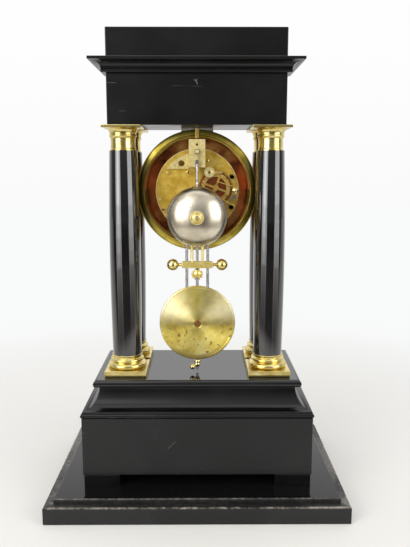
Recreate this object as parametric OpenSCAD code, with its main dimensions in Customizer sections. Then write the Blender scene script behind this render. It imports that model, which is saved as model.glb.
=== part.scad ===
// Portico mantel clock: ebonised case on four columns, round drum movement with an open back,
// bell strike and gridiron pendulum, standing on a board for a glass dome.
// Millimetres, +Z up, dial towards -Y, open back towards +Y, origin under the centre of the board.

/* [Dome board] */
// width of the board
board_w = 320; // [280:1:360]
// depth of the board
board_d = 215; // [190:1:240]
// thickness at the rim
board_t = 19; // [14:0.5:26]
// width of the rebate that takes the dome
rebate_w = 9.5; // [6:0.5:14]
// height of the raised panel above the rebate
panel_rise = 5; // [3:0.5:8]

/* [Plinth] */
// width of each foot
foot_w = 39; // [28:1:50]
// depth of each foot
foot_d = 34; // [24:1:44]
// height of the feet
foot_h = 13; // [8:0.5:20]
// width of the plinth block
block_w = 248; // [230:1:270]
// depth of the plinth block
block_d = 143.4; // [130:0.2:160]
// height of the plinth block
block_h = 64.5; // [50:0.5:80]
// wall of the hollow plinth block
block_wall = 10; // [7:0.5:14]
// height of the square fillet above the block
fillet_h = 5; // [3:0.5:8]
// height of the hollow moulding
cove_h = 24.5; // [18:0.5:32]
// how far the hollow moulding draws in
cove_in = 16.5; // [12:0.5:20]
// overhang of the top slab past the moulding
slab_over = 6.2; // [4:0.1:9]
// thickness of the top slab
slab_t = 8.5; // [6:0.5:12]

/* [Columns] */
// clear space between the bezel and the girth of the shafts
col_clear = 0.5; // [0.5:0.1:4]
// clear space between the rear rim and the girth of the shafts
rim_clear = 0.6; // [0.4:0.1:4]
// height of the shafts
shaft_h = 222; // [210:1:235]
// shaft radius at the foot
shaft_r0 = 15.8; // [14.5:0.1:16.5]
// extra shaft radius at the swelling
shaft_swell = 1.6; // [0.5:0.1:2]
// shaft radius under the capital
shaft_r1 = 14.9; // [14:0.1:16]
// side of the square plinth of a column base
base_sq = 46; // [42:0.5:50]
// height of a column base
base_h = 22; // [18:0.5:26]
// side of the square top of a capital
abacus_sq = 42; // [38:0.5:46]
// height of a capital
cap_h = 26; // [22:0.5:30]
// radius of the iron tie rods inside the columns
tie_r = 3; // [2:0.1:4]

/* [Entablature] */
// how far the frieze runs past the column axes, across
frieze_side = 14.7; // [14.5:0.1:20]
// how far the frieze runs past the column axes, in depth
frieze_deep = 13.9; // [13.8:0.1:20]
// height of the frieze
frieze_h = 52; // [44:0.5:60]
// wall of the hollow frieze
frieze_wall = 8; // [6:0.5:11]
// height of the cornice
cornice_h = 14; // [11:0.5:18]
// projection of the cornice
cornice_out = 16.2; // [12:0.2:20]
// height of the attic block
attic_h = 31; // [24:0.5:40]

/* [Drum] */
// height of the movement centre under the frieze
drum_drop = 68.6; // [68:0.2:74]
// inside radius of the drum
drum_r = 57.5; // [56.5:0.1:58]
// wall of the drum
drum_wall = 1.8; // [1.2:0.1:2.2]
// width of the flat rear rim
rim_w = 8.2; // [6:0.2:8.6]
// outside radius of the front bezel
bezel_r = 60.6; // [60:0.1:61]

/* [Movement] */
// radius of the plates
plate_r = 46.4; // [46:0.1:48]
// thickness of the plates
plate_t = 2; // [1.6:0.1:2.6]
// clear distance between the plates
plate_gap = 20; // [20:0.5:22]
// radius of the plate pillars
pillar_r = 2.5; // [2:0.1:2.8]
// radius of an arbor between the plates
arbor_r = 0.9; // [0.8:0.05:1]
// radius of a pivot
pivot_r = 0.5; // [0.4:0.05:0.55]
// radial clearance of pivots and pins
run_clr = 0.05; // [0.03:0.01:0.08]
// dial radius
dial_r = 51; // [50:0.5:52]

/* [Bell] */
// radius of the bell
bell_r = 32.5; // [31:0.5:34]
// depth of the bell
bell_h = 19; // [17:0.5:21]
// wall of the bell
bell_t = 1.6; // [1.2:0.1:2]

/* [Pendulum] */
// radius of the bob
bob_r = 42; // [38:0.5:43]
// thickness of the bob
bob_t = 13; // [10:0.5:14]
// room under the bob for the rating nut and its screw
bob_room = 14.6; // [14:0.1:18]
// spacing of the five gridiron rods
rod_pitch = 5.7; // [5:0.05:6]
// radius of a gridiron rod
rod_r = 1.55; // [1.2:0.05:1.8]

/* [Hidden] */
$fn = 72;
seat = 0.05;
gap = 0.3;
// plinth levels
panel_z = board_t + panel_rise;
block_z = panel_z + foot_h;
fillet_z = block_z + block_h;
cove_z = fillet_z + fillet_h;
slab_z = cove_z + cove_h;
slab_top = slab_z + slab_t;
slab_w = block_w - 2 * cove_in + 2 * slab_over - 2.2;
slab_d = block_d - 2 * cove_in + 2 * slab_over - 2.2;
// column axes, clear of the bezel and the rear rim
y_rim = 9;
shaft_girth = shaft_r0 + shaft_swell;
col_x = bezel_r + shaft_girth + col_clear;
col_y = y_rim + shaft_girth + rim_clear;
frieze_w = 2 * (col_x + frieze_side);
frieze_d = 2 * (col_y + frieze_deep);
nut_room = 11;
// column and entablature levels
shaft_z = slab_top + base_h;
cap_z = shaft_z + shaft_h;
frieze_z = cap_z + cap_h;
cornice_z = frieze_z + frieze_h;
attic_z = cornice_z + cornice_h;
abacus_t = 3;
tie_clr = 0.3;
nut_h = 5;
// movement frame
mz = frieze_z - drum_drop;
y_back = 0;
y_in = y_back - plate_t;
y_fin = y_in - plate_gap;
y_front = y_fin - plate_t;
y_flange = y_front - 4.6;
flange_t = 1.4;
y_dial = y_flange - flange_t;
dial_t = 1.2;
y_face = y_dial - dial_t;
y_door = y_face - 1.6;
door_t = 9.2;
rim_t = 6;
rim_r = drum_r + 0.5 + rim_w;
shake = 0.1;
hole_r = pivot_r + run_clr;
lean_r = 0.66;
// wooden saddle that holds the drum, out of sight from behind
saddle_w = 36;
saddle_y0 = y_flange + 4;
saddle_y1 = y_rim - rim_t - 14;
// tooth counts
great_n = 72;
inter_pn = 10;
inter_n = 66;
centre_pn = 8;
centre_n = 84;
third_pn = 7;
third_n = 77;
escape_pn = 7;
escape_n = 32;
second_pn = 10;
second_n = 72;
pin_pn = 8;
pin_n = 60;
stop_pn = 6;
stop_n = 48;
fly_pn = 8;
cannon_n = 14;
minute_n = 42;
minute_pn = 10;
hour_n = 40;
// tooth modules
great_m = 0.5;
inter_m = 0.46;
centre_m = 0.34;
third_m = 0.30;
second_m = 0.42;
pin_m = 0.40;
stop_m = 0.36;
motion_m = 0.45;
hour_m = motion_m * (cannon_n + minute_n) / (minute_pn + hour_n);
escape_r = 9.5;
function mesh(m, a, b) = m * (a + b) / 2;
// arbor places in the plate, across and up from the dial centre
bar_x = 20;
bar_z = -17.5;
c_pos = [0, 0];
g_pos = [bar_x, bar_z];
s_pos = [-bar_x, bar_z];
function tri(a, b, da, db, side) =
    let(d = norm(b - a), e = (b - a) / d, u = (da * da - db * db + d * d) / (2 * d),
        v = sqrt(da * da - u * u))
    a + e * u + side * v * [-e[1], e[0]];
function polar(p, r, t) = p + r * [cos(t), sin(t)];
function dir(a, b) = atan2(b[1] - a[1], b[0] - a[0]);
i_pos = tri(c_pos, g_pos, mesh(inter_m, inter_n, centre_pn), mesh(great_m, great_n, inter_pn), 1);
pallet_z = 42;
a_pos = [0, pallet_z];
e_pos = [0, 27.5];
t_pos = tri(c_pos, e_pos, mesh(centre_m, centre_n, third_pn), mesh(third_m, third_n, escape_pn), -1);
k_pos = polar(s_pos, mesh(great_m, great_n, second_pn), 91.4);
p_pos = polar(k_pos, mesh(second_m, second_n, pin_pn), 85);
l_pos = polar(p_pos, mesh(pin_m, pin_n, stop_pn), 190);
f_pos = polar(l_pos, mesh(stop_m, stop_n, fly_pn), -125);
h_pos = [-40.5, -7];
m_pos = polar(c_pos, mesh(motion_m, cannon_n, minute_n), 150);
pillar_pos = [polar(c_pos, plate_r - 7.5, 31), polar(c_pos, plate_r - 3.7, -12.7),
    polar(c_pos, plate_r - 3.7, 180), polar(c_pos, plate_r - 5.4, -90)];
// phase of a driven gear so that it meshes at rest
function driven(a, b, ph, na, nb) =
    let(al = dir(a, b)) al + 180 - (ph - al) * na / nb + 180 / nb;
ph_centre_p = 0;
ph_inter = driven(c_pos, i_pos, ph_centre_p, centre_pn, inter_n);
ph_inter_p = 0;
ph_great = driven(i_pos, g_pos, ph_inter_p, inter_pn, great_n);
ph_centre = 0;
ph_third_p = driven(c_pos, t_pos, ph_centre, centre_n, third_pn);
ph_third = 0;
ph_escape_p = driven(t_pos, e_pos, ph_third, third_n, escape_pn);
ph_second_p = 0;
ph_sgreat = driven(k_pos, s_pos, ph_second_p, second_pn, great_n);
ph_second = 0;
ph_pin_p = driven(k_pos, p_pos, ph_second, second_n, pin_pn);
ph_pin = 0;
ph_stop_p = driven(p_pos, l_pos, ph_pin, pin_n, stop_pn);
ph_stop = 0;
ph_fly_p = driven(l_pos, f_pos, ph_stop, stop_n, fly_pn);
ph_cannon = 0;
ph_minute = driven(c_pos, m_pos, ph_cannon, cannon_n, minute_n);
ph_minute_p = 0;
ph_hour = driven(m_pos, c_pos, ph_minute_p, minute_pn, hour_n);
// dial feet
foot_ring = 33;
dial_foot_r = 1.2;
flange_r = dial_r - 15.5;
// wheel levels, measured forward from the inside of the back plate
lv_centre = 1.2;
lv_second = 5.6;
lv_escape = 5.4;
lv_third = 10.8;
lv_stop = 13;
lv_pin = 15.3;
lv_barrel = 7.6;
barrel_h = 11.4;
barrel_rr = 16.6;
barrel_wall = 1;
barrel_arbor_r = 2.6;
wheel_t = 1.2;
// back of the movement
count_r = 16.5;
detent_pos = [-13.4, 20.2];
detent_stud = 1.4;
count_y = y_back + 1;
pend_y = y_back + 28;
cock_y = pend_y - 7;
crutch_y = cock_y - 2;
cock_t = 3.2;
cock_w = 17.7;
cock_low = 25.4;
cock_high = 55;
susp_z = mz + pallet_z;
susp_pin_r = 1.2;
bob_z = slab_top + bob_room + bob_r;
bell_y = pend_y + 5;
bell_z = -27;
bell_hole = 2.2;
head_pos = [-24.8, bell_z + 4.4];
// gridiron levels
low_rise = 65;
top_rise = 118;
top_bar_z = bob_z + top_rise;
low_bar_z = bob_z + low_rise;
bar_h = 7.4;
bar_t = 5;
yoke_over = 7.9;
spring_len = 13.5;
// rating screw
screw_r = 1.4;
nut_top = bob_z - bob_r - gap;
nut_len = 8.4;
screw_out = 3.6;
screw_z = nut_top - nut_len - screw_out;
// bezel hinge
hinge_x = -(bezel_r + 2.1);
hinge_y = y_door - 4.4;
hinge_r = 1.9;
hinge_pin_r = 0.8;
hinge_len = 16;

// Colours
ebony = [0.05, 0.05, 0.055];
gilt = [0.83, 0.66, 0.27];
brass = [0.72, 0.58, 0.24];
steel = [0.62, 0.63, 0.65];
blued = [0.08, 0.10, 0.22];
silver = [0.78, 0.77, 0.74];

// A block with the same moulded profile on all four sides, profile points are [projection, height]
module moulded(w, d, prof) {
    n = len(prof) - 1;
    intersection() {
        rotate([90, 0, 0])
            translate([0, 0, -d])
                linear_extrude(2 * d)
                    polygon(concat([for (p = prof) [w / 2 + p[0], p[1]]],
                        [for (i = [n:-1:0]) [-w / 2 - prof[i][0], prof[i][1]]]));
        rotate([90, 0, 90])
            translate([0, 0, -w])
                linear_extrude(2 * w)
                    polygon(concat([for (p = prof) [d / 2 + p[0], p[1]]],
                        [for (i = [n:-1:0]) [-d / 2 - prof[i][0], prof[i][1]]]));
    }
}

// A box centred in plan
module slab(w, d, h) {
    translate([-w / 2, -d / 2, 0])
        cube([w, d, h]);
}

// Children repeated at the four column axes
module at_columns() {
    for (sx = [-1, 1], sy = [-1, 1])
        translate([sx * col_x, sy * col_y, 0])
            children();
}

// Children placed on a movement axis, built forward from level y
module on_axis(p, y) {
    translate([p[0], y, mz + p[1]])
        rotate([90, 0, 0])
            children();
}

// A round bar on a movement axis between two levels
module shaft(p, y0, y1, r) {
    on_axis(p, y0)
        cylinder(r = r, h = y0 - y1);
}

function teeth(n, m, ph, ka, kd, wt, wr) =
    let(rp = m * n / 2, q = 360 / n, a = [-wr, -wt, wt, wr], r = [rp - kd * m, rp + ka * m, rp + ka * m, rp - kd * m])
    [for (i = [0:n - 1], s = [0:3]) r[s] * [cos(ph + q * (i + a[s])), sin(ph + q * (i + a[s]))]];

// A crossed-out wheel
module wheel(n, m, ph, t, hub, spokes, rim = 1.3) {
    ri = m * n / 2 - 1.3 * m - rim;
    difference() {
        linear_extrude(t)
            polygon(teeth(n, m, ph, 0.9, 1.3, 0.13, 0.27));
        translate([0, 0, -1])
            cylinder(r = ri, h = t + 2);
    }
    for (i = [0:spokes - 1])
        rotate([0, 0, i * 360 / spokes])
            translate([0, -0.75, 0])
                cube([ri + 0.4, 1.5, t]);
    cylinder(r = hub, h = t);
}

// A leaf pinion
module pinion(n, m, ph, t) {
    linear_extrude(t)
        polygon(teeth(n, m, ph, 0.6, 1.4, 0.14, 0.25));
}

// An arbor with a pivot in each plate
module arbor(p, r) {
    shaft(p, y_in - shake, y_fin + shake, r);
    shaft(p, y_back, y_in - shake, pivot_r);
    shaft(p, y_fin + shake, y_front, pivot_r);
}

// A pivot hole through both plates
module pivot_hole(p, r) {
    shaft(p, y_back + 5, y_front - 5, r);
}

// Case

module base_board() {
    color(ebony)
        moulded(board_w, board_d, [[-1.2, 0], [0, 1.2], [0, board_t - 1.5], [-1.5, board_t],
            [-rebate_w, board_t], [-rebate_w, panel_z - 1], [-rebate_w - 1, panel_z]]);
}

module plinth_feet() {
    color(ebony)
        for (sx = [-1, 1], sy = [-1, 1])
            translate([sx * (block_w / 2 - 1 - foot_w / 2), sy * (block_d / 2 - 1 - foot_d / 2), panel_z])
                slab(foot_w, foot_d, foot_h);
}

module plinth_box() {
    color(ebony)
        difference() {
            translate([0, 0, block_z])
                slab(block_w, block_d, block_h);
            translate([0, 0, block_z - 1])
                slab(block_w - 2 * block_wall, block_d - 2 * block_wall, block_h + 2);
        }
}

module plinth_moulding() {
    hollow = [for (i = [0:8]) let(t = i * 11.25)
        [-1.1 - cove_in * sin(t), fillet_h + 2 + (cove_h - 2) * (1 - cos(t))]];
    color(ebony)
        difference() {
            translate([0, 0, fillet_z])
                moulded(block_w, block_d, concat([[1, 0], [1, fillet_h - 0.6], [0.4, fillet_h], [-1.1, fillet_h]],
                    hollow));
            translate([0, 0, fillet_z - 1])
                slab(2 * (col_x + nut_room), 2 * (col_y + nut_room), fillet_h + cove_h + 2);
        }
}

module plinth_top() {
    rr = slab_t / 2;
    edge = [for (i = [0:8]) let(t = -90 + i * 22.5) [-rr + rr * cos(t), rr + rr * sin(t)]];
    color(ebony)
        difference() {
            translate([0, 0, slab_z])
                moulded(slab_w, slab_d, edge);
            at_columns()
                translate([0, 0, slab_z - 1])
                    cylinder(r = tie_r + tie_clr, h = slab_t + 2);
        }
}

module column_bases() {
    rt = base_sq / 2 - 1.2;
    lo = 7;
    torus = [for (i = [0:8]) let(t = -90 + i * 22.5) [rt - 3.4 + 3.4 * cos(t), lo + 3.4 + 3.4 * sin(t)]];
    ring = [for (i = [0:8]) let(t = -90 + i * 22.5) [shaft_r0 + 1.6 + 2.2 * cos(t), lo + 11.6 + 2.2 * sin(t)]];
    color(gilt)
        at_columns()
            translate([0, 0, slab_top])
                difference() {
                    union() {
                        translate([-base_sq / 2, -base_sq / 2, 0])
                            cube([base_sq, base_sq, lo]);
                        rotate_extrude()
                            polygon(concat([[0, lo - 1], [rt - 3.4, lo - 1]], torus,
                                [[rt - 4.2, lo + 6.8], [shaft_r0 + 2.2, lo + 8], [shaft_r0 + 1.4, lo + 9.4]], ring,
                                [[shaft_r0 + 0.5, base_h - 1], [shaft_r0 + 0.4, base_h], [0, base_h]]));
                    }
                    translate([0, 0, -1])
                        cylinder(r = tie_r + tie_clr, h = base_h + 2);
                }
}

module columns() {
    n = 10;
    color(ebony)
        at_columns()
            translate([0, 0, shaft_z])
                rotate_extrude()
                    polygon(concat([[tie_r + tie_clr, 0]],
                        [for (i = [0:n]) let(t = i / n)
                            [shaft_r0 + (shaft_r1 - shaft_r0) * t + shaft_swell * sin(180 * t), t * shaft_h]],
                        [[tie_r + tie_clr, shaft_h]]));
}

module capitals() {
    rn = shaft_r1 - 0.8;
    fl = cap_h - abacus_t;
    top = abacus_sq / 2 - 2.2;
    flare = [for (i = [0:6]) let(t = i * 15) [rn + 1 + (top - rn - 1) * (1 - cos(t)), fl - 6.4 + 6.4 * sin(t)]];
    color(gilt)
        at_columns()
            translate([0, 0, cap_z])
                difference() {
                    union() {
                        rotate_extrude()
                            polygon(concat([[0, 0], [rn + 0.6, 0], [rn + 0.6, 1], [rn, 1.4], [rn, fl - 9.4],
                                [rn + 1.3, fl - 9], [rn + 1.6, fl - 8], [rn + 1.3, fl - 7]], flare, [[0, fl]]));
                        translate([-abacus_sq / 2, -abacus_sq / 2, fl])
                            cube([abacus_sq, abacus_sq, abacus_t]);
                    }
                    translate([0, 0, -1])
                        cylinder(r = tie_r + tie_clr, h = cap_h + 2);
                }
}

module tie_rods() {
    z0 = slab_z - 10;
    z1 = frieze_z + frieze_wall + 10;
    color(steel)
        at_columns()
            union() {
                translate([0, 0, z0])
                    cylinder(r = tie_r, h = z1 - z0);
                translate([0, 0, slab_z - nut_h])
                    cylinder(r = tie_r * 1.9, h = nut_h, $fn = 6);
                translate([0, 0, frieze_z + frieze_wall])
                    cylinder(r = tie_r * 1.9, h = nut_h, $fn = 6);
            }
}

module frieze_box() {
    color(ebony)
        difference() {
            translate([0, 0, frieze_z])
                slab(frieze_w, frieze_d, frieze_h);
            translate([0, 0, frieze_z + frieze_wall])
                slab(frieze_w - 2 * frieze_wall, frieze_d - 2 * frieze_wall, frieze_h);
            at_columns()
                translate([0, 0, frieze_z - 1])
                    cylinder(r = tie_r + tie_clr, h = frieze_wall + 2);
            hanger_places()
                translate([0, 0, frieze_z - 1])
                    cylinder(r = tie_r + tie_clr, h = frieze_wall + 2);
        }
}

module cornice() {
    q = cornice_out;
    h = cornice_h;
    sweep = [for (i = [0:7]) let(t = i * 90 / 7) [4.6 + (q - 5.4) * (1 - cos(t)), 3.6 + (h - 6.6) * sin(t)]];
    color(ebony)
        translate([0, 0, cornice_z])
            moulded(frieze_w, frieze_d, concat([[-2, 0], [4.6, 0], [4.6, 3.6]], sweep,
                [[q, h - 2.8], [q, h], [-2, h]]));
}

module attic_block() {
    color(ebony)
        translate([0, 0, attic_z])
            difference() {
                moulded(frieze_w, frieze_d, [[0, 0], [0, attic_h - 0.8], [-0.8, attic_h]]);
                translate([0, 0, -1])
                    slab(frieze_w - 2 * frieze_wall, frieze_d - 2 * frieze_wall, attic_h - frieze_wall + 1);
            }
}

// Drum, dial and bezel

module hanger_places() {
    for (s = [-1, 1])
        translate([s * (saddle_w / 2 - 6), (saddle_y0 + saddle_y1) / 2, 0])
            children();
}

module drum_case() {
    color([0.45, 0.25, 0.13])
        difference() {
            shaft(c_pos, y_rim - rim_t, y_flange, drum_r + drum_wall);
            shaft(c_pos, y_rim, y_flange - 1, drum_r);
        }
}

module rear_rim() {
    ri = drum_r + 0.5;
    color(brass)
        translate([0, y_rim, mz])
            rotate([90, 0, 0])
                rotate_extrude($fn = 120)
                    polygon([[ri, 0.6], [ri + 1.3, 0], [ri + 2.2, 0.7], [rim_r - 1.4, 0.9], [rim_r - 0.4, 1.4],
                        [rim_r, 2.4], [rim_r, 3.6], [rim_r - 1, rim_t - 1.4], [drum_r + drum_wall + 2.6, rim_t],
                        [drum_r + drum_wall + 2.6, rim_t + 5], [drum_r + drum_wall + seat, rim_t + 5],
                        [drum_r + drum_wall + seat, rim_t], [ri, rim_t]]);
}

module drum_saddle() {
    color(ebony)
        difference() {
            translate([-saddle_w / 2, saddle_y0, mz + drum_r - 6])
                cube([saddle_w, saddle_y1 - saddle_y0, drum_drop - drum_r + 6]);
            shaft(c_pos, y_rim, y_front - 20, drum_r + drum_wall + seat);
            hanger_places()
                translate([0, 0, mz + drum_r + drum_wall])
                    cylinder(r = tie_r + tie_clr, h = drum_drop);
        }
}

module hanger_bolts() {
    z0 = frieze_z - 4;
    color(steel)
        hanger_places()
            union() {
                translate([0, 0, z0])
                    cylinder(r = tie_r, h = frieze_wall + 4 + nut_h);
                translate([0, 0, frieze_z + frieze_wall])
                    cylinder(r = tie_r * 1.9, h = nut_h, $fn = 6);
            }
}

module drum_straps() {
    color(brass)
        intersection() {
            difference() {
                shaft(c_pos, y_rim - rim_t + 1, y_flange, drum_r - seat);
                shaft(c_pos, y_rim, y_flange - 1, drum_r - 1.6);
            }
            translate([-drum_r - 1, y_flange - 2, mz - 15])
                cube([2 * drum_r + 2, y_rim - y_flange, 16]);
        }
}

module front_ring() {
    color(gilt)
        difference() {
            union() {
                on_axis(c_pos, y_flange)
                    rotate_extrude($fn = 120)
                        polygon([[flange_r, 0], [bezel_r, 0], [bezel_r, y_flange - y_face + 1.2],
                            [dial_r + 1.6, y_flange - y_face + 1.2], [dial_r + 0.4, y_flange - y_face],
                            [dial_r + 0.4, flange_t], [flange_r, flange_t]]);
                for (p = pillar_pos)
                    shaft(p, y_front, y_flange - 0.5, pillar_r);
                for (s = [-1, 1])
                    translate([hinge_x, 0, mz + s * hinge_len / 3 - hinge_len / 6])
                        hinge_leaf();
            }
            translate([hinge_x, hinge_y, mz - hinge_len])
                cylinder(r = hinge_pin_r + seat, h = 2 * hinge_len);
        }
}

// A hinge knuckle with the arm that runs back to the ring
module hinge_leaf() {
    h = hinge_len / 3 - 0.15;
    translate([0, hinge_y, 0])
        cylinder(r = hinge_r, h = h);
    translate([0.1, hinge_y, 0])
        cube([1.3, y_face + 0.4 - hinge_y, h]);
    translate([0.6, y_face - 1, 0])
        cube([3, 1.8, h]);
}

module bezel_door() {
    ri = dial_r - 2;
    ro = bezel_r;
    color(gilt)
        difference() {
            union() {
                on_axis(c_pos, y_door)
                    rotate_extrude($fn = 120)
                        polygon([[dial_r + 1, 0], [ro - 1, 0], [ro, 0.8], [ro, 2.6], [ro - 0.8, 3.4],
                            [ro - 1.4, 5.6], [ro - 3, 7.8], [ro - 5, door_t], [ro - 6.6, door_t - 0.4],
                            [ri + 1, door_t - 2.6], [ri, door_t - 3.6], [ri, door_t - 4.4], [dial_r + 1, door_t - 4.4]]);
                translate([hinge_x, hinge_y, mz - hinge_len / 6 + 0.1])
                    cylinder(r = hinge_r, h = hinge_len / 3 - 0.2);
                translate([hinge_x, hinge_y - 0.6, mz - hinge_len / 6 + 0.1])
                    cube([-(bezel_r - 3) - hinge_x, 1.8, hinge_len / 3 - 0.2]);
                translate([bezel_r - 1, y_door - 2.4, mz - 4])
                    cube([2.2, 1.4, 8]);
            }
            translate([hinge_x, hinge_y, mz - hinge_len])
                cylinder(r = hinge_pin_r + run_clr, h = 2 * hinge_len);
        }
}

module dial_glass() {
    color([0.85, 0.92, 0.92, 0.35])
        shaft(c_pos, y_door - door_t + 6.4, y_door - door_t + 4.4, dial_r + 1 - seat);
}

module hinge_pin() {
    color(steel)
        translate([hinge_x, hinge_y, mz - hinge_len / 2])
            cylinder(r = hinge_pin_r, h = hinge_len);
}

module dial() {
    color([0.94, 0.93, 0.9])
        difference() {
            union() {
                shaft(c_pos, y_dial, y_face, dial_r);
                for (t = [60, 180, 300])
                    shaft(polar(c_pos, foot_ring, t), y_front + plate_t / 2, y_dial, dial_foot_r);
            }
            shaft(c_pos, y_dial + 1, y_face - 1, 3.4);
            shaft(g_pos, y_dial + 1, y_face - 1, 3.4);
            shaft(s_pos, y_dial + 1, y_face - 1, 3.4);
        }
}

// Movement frame

module back_plate() {
    color(brass)
        difference() {
            union() {
                shaft(c_pos, y_back, y_in, plate_r);
                shaft(detent_pos, y_back + 4.6, y_back, detent_stud);
            }
            for (p = [i_pos, c_pos, p_pos, l_pos, f_pos, h_pos])
                pivot_hole(p, hole_r);
            for (p = [t_pos, e_pos])
                pivot_hole(p, hole_r);
            for (p = [g_pos, s_pos])
                pivot_hole(p, pivot_r * 3 + run_clr);
            pivot_hole(k_pos, arbor_r + run_clr);
            pivot_hole(a_pos, 2.2);
            shaft([17.5, 30], y_back + 1, y_in - 1, 3.4);
            shaft([-38.1, 16], y_back + 1, y_in - 1, 2.2);
            shaft([-37.6, -18.4], y_back + 1, y_in - 1, 2.8);
            for (p = pillar_pos)
                shaft(p, y_back + 1, y_in - 1, pillar_r * 0.6 + seat);
        }
}

module front_plate() {
    color(brass)
        difference() {
            shaft(c_pos, y_fin, y_front, plate_r);
            for (p = [i_pos, k_pos, p_pos, l_pos, f_pos, h_pos, t_pos, e_pos, a_pos])
                pivot_hole(p, hole_r);
            pivot_hole(c_pos, arbor_r + run_clr);
            for (p = [g_pos, s_pos])
                pivot_hole(p, barrel_arbor_r + run_clr);
            for (t = [60, 180, 300])
                shaft(polar(c_pos, foot_ring, t), y_front + plate_t / 2, y_front - 1, dial_foot_r + seat);
            shaft(m_pos, y_front + plate_t / 2, y_front - 1, 0.8 + run_clr);
        }
}

module plate_pillars() {
    color(brass)
        for (p = pillar_pos)
            difference() {
                union() {
                    shaft(p, y_in, y_fin, pillar_r);
                    shaft(p, y_back + 2.6, y_in, pillar_r * 0.6);
                }
                on_axis(p, y_back + 1.2)
                    rotate([0, 90, 30])
                        translate([0, 0, -5])
                            cylinder(r = 0.5 + seat, h = 10);
            }
    color(steel)
        for (p = pillar_pos)
            on_axis(p, y_back + 1.2)
                rotate([0, 90, 30])
                    translate([0, 0, -3.4])
                        cylinder(r = 0.5, h = 6.8);
}

// Going train

module barrel(p, ph) {
    y0 = y_in - lv_barrel;
    difference() {
        union() {
            shaft(p, y0, y0 - barrel_h, barrel_rr);
            on_axis(p, y0 - barrel_h + 1.6)
                linear_extrude(1.6)
                    polygon(teeth(great_n, great_m, ph, 0.9, 1.3, 0.13, 0.27));
        }
        shaft(p, y0 - barrel_wall, y0 - barrel_h + 1.6, barrel_rr - barrel_wall);
        shaft(p, y0 + 1, y0 - barrel_h - 1, barrel_arbor_r + run_clr);
    }
}

module barrel_arbor(p) {
    shaft(p, y_in - shake, y_front - 1.2, barrel_arbor_r);
    shaft(p, y_back, y_in - shake, pivot_r * 3);
    on_axis(p, y_front - 1.2)
        translate([-1.5, -1.5, 0])
            cube([3, 3, y_front - 1.2 - y_face]);
}

module mainsprings() {
    y0 = y_in - lv_barrel - barrel_wall - gap;
    color(blued)
        for (p = [g_pos, s_pos])
            difference() {
                shaft(p, y0, y0 - barrel_h + barrel_wall + 1.6 + 2 * gap, barrel_rr - barrel_wall - gap);
                shaft(p, y0 + 1, y0 - barrel_h - 1, barrel_arbor_r + gap);
            }
}

module going_barrel() {
    color(brass)
        barrel(g_pos, ph_great);
}

module going_arbor() {
    color(steel)
        barrel_arbor(g_pos);
}

module intermediate_wheel() {
    color(brass) {
        arbor(i_pos, arbor_r);
        on_axis(i_pos, y_in - lv_second)
            wheel(inter_n, inter_m, ph_inter, wheel_t, 2.6, 4);
        on_axis(i_pos, y_in - lv_barrel - barrel_h + 2.2)
            pinion(inter_pn, great_m, ph_inter_p, 2.8);
    }
}

module centre_wheel() {
    color(brass) {
        shaft(c_pos, y_back, y_in - shake, pivot_r);
        shaft(c_pos, y_in - shake, y_face - 3.8, arbor_r);
        on_axis(c_pos, y_in - lv_centre)
            wheel(centre_n, centre_m, ph_centre, wheel_t, 2.6, 4);
        on_axis(c_pos, y_in - lv_second + 0.6)
            pinion(centre_pn, inter_m, ph_centre_p, wheel_t + 1.2);
    }
}

module third_wheel() {
    color(brass) {
        arbor(t_pos, lean_r);
        on_axis(t_pos, y_in - lv_third)
            wheel(third_n, third_m, ph_third, wheel_t, 1.8, 4);
        on_axis(t_pos, y_in - lv_centre + 0.6)
            pinion(third_pn, centre_m, ph_third_p, wheel_t + 1.2);
    }
}

module escape_wheel() {
    q = 360 / escape_n;
    pts = [for (i = [0:escape_n - 1], s = [0:2]) let(r = [escape_r - 2, escape_r, escape_r - 2],
        a = [-0.42, 0, 0.06]) r[s] * [cos(q * (i + a[s])), sin(q * (i + a[s]))]];
    color(brass) {
        arbor(e_pos, lean_r);
        on_axis(e_pos, y_in - lv_third + 0.6)
            pinion(escape_pn, third_m, ph_escape_p, wheel_t + 1.2);
        on_axis(e_pos, y_in - lv_escape) {
            difference() {
                linear_extrude(wheel_t)
                    polygon(pts);
                translate([0, 0, -1])
                    cylinder(r = escape_r - 3.2, h = wheel_t + 2);
            }
            for (i = [0:3])
                rotate([0, 0, i * 90])
                    translate([0, -0.6, 0])
                        cube([escape_r - 2.8, 1.2, wheel_t]);
            cylinder(r = 1.8, h = wheel_t);
        }
    }
}

module pallet_anchor() {
    d = pallet_z - e_pos[1];
    reach = escape_r + 1.15;
    ang = acos(escape_r / d);
    color(steel) {
        shaft(a_pos, cock_y + cock_t - 1 - shake, y_fin + shake, arbor_r);
        shaft(a_pos, y_fin + shake, y_front, pivot_r);
        on_axis(a_pos, y_in - lv_escape) {
            cylinder(r = 2, h = wheel_t);
            for (s = [-1, 1])
                linear_extrude(wheel_t)
                    polygon([[0, 1.9], [s * 8.4, -2.4], [s * (reach * sin(ang) + 2.2), -d + reach * cos(ang) + 1.4],
                        [s * (reach * sin(ang) + 0.9), -d + (reach) * cos(ang) + 0.1],
                        [s * reach * sin(ang), -d + reach * cos(ang) + 0.9], [s * 6.6, -3.6], [0, -1.9]]);
        }
    }
}

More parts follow.
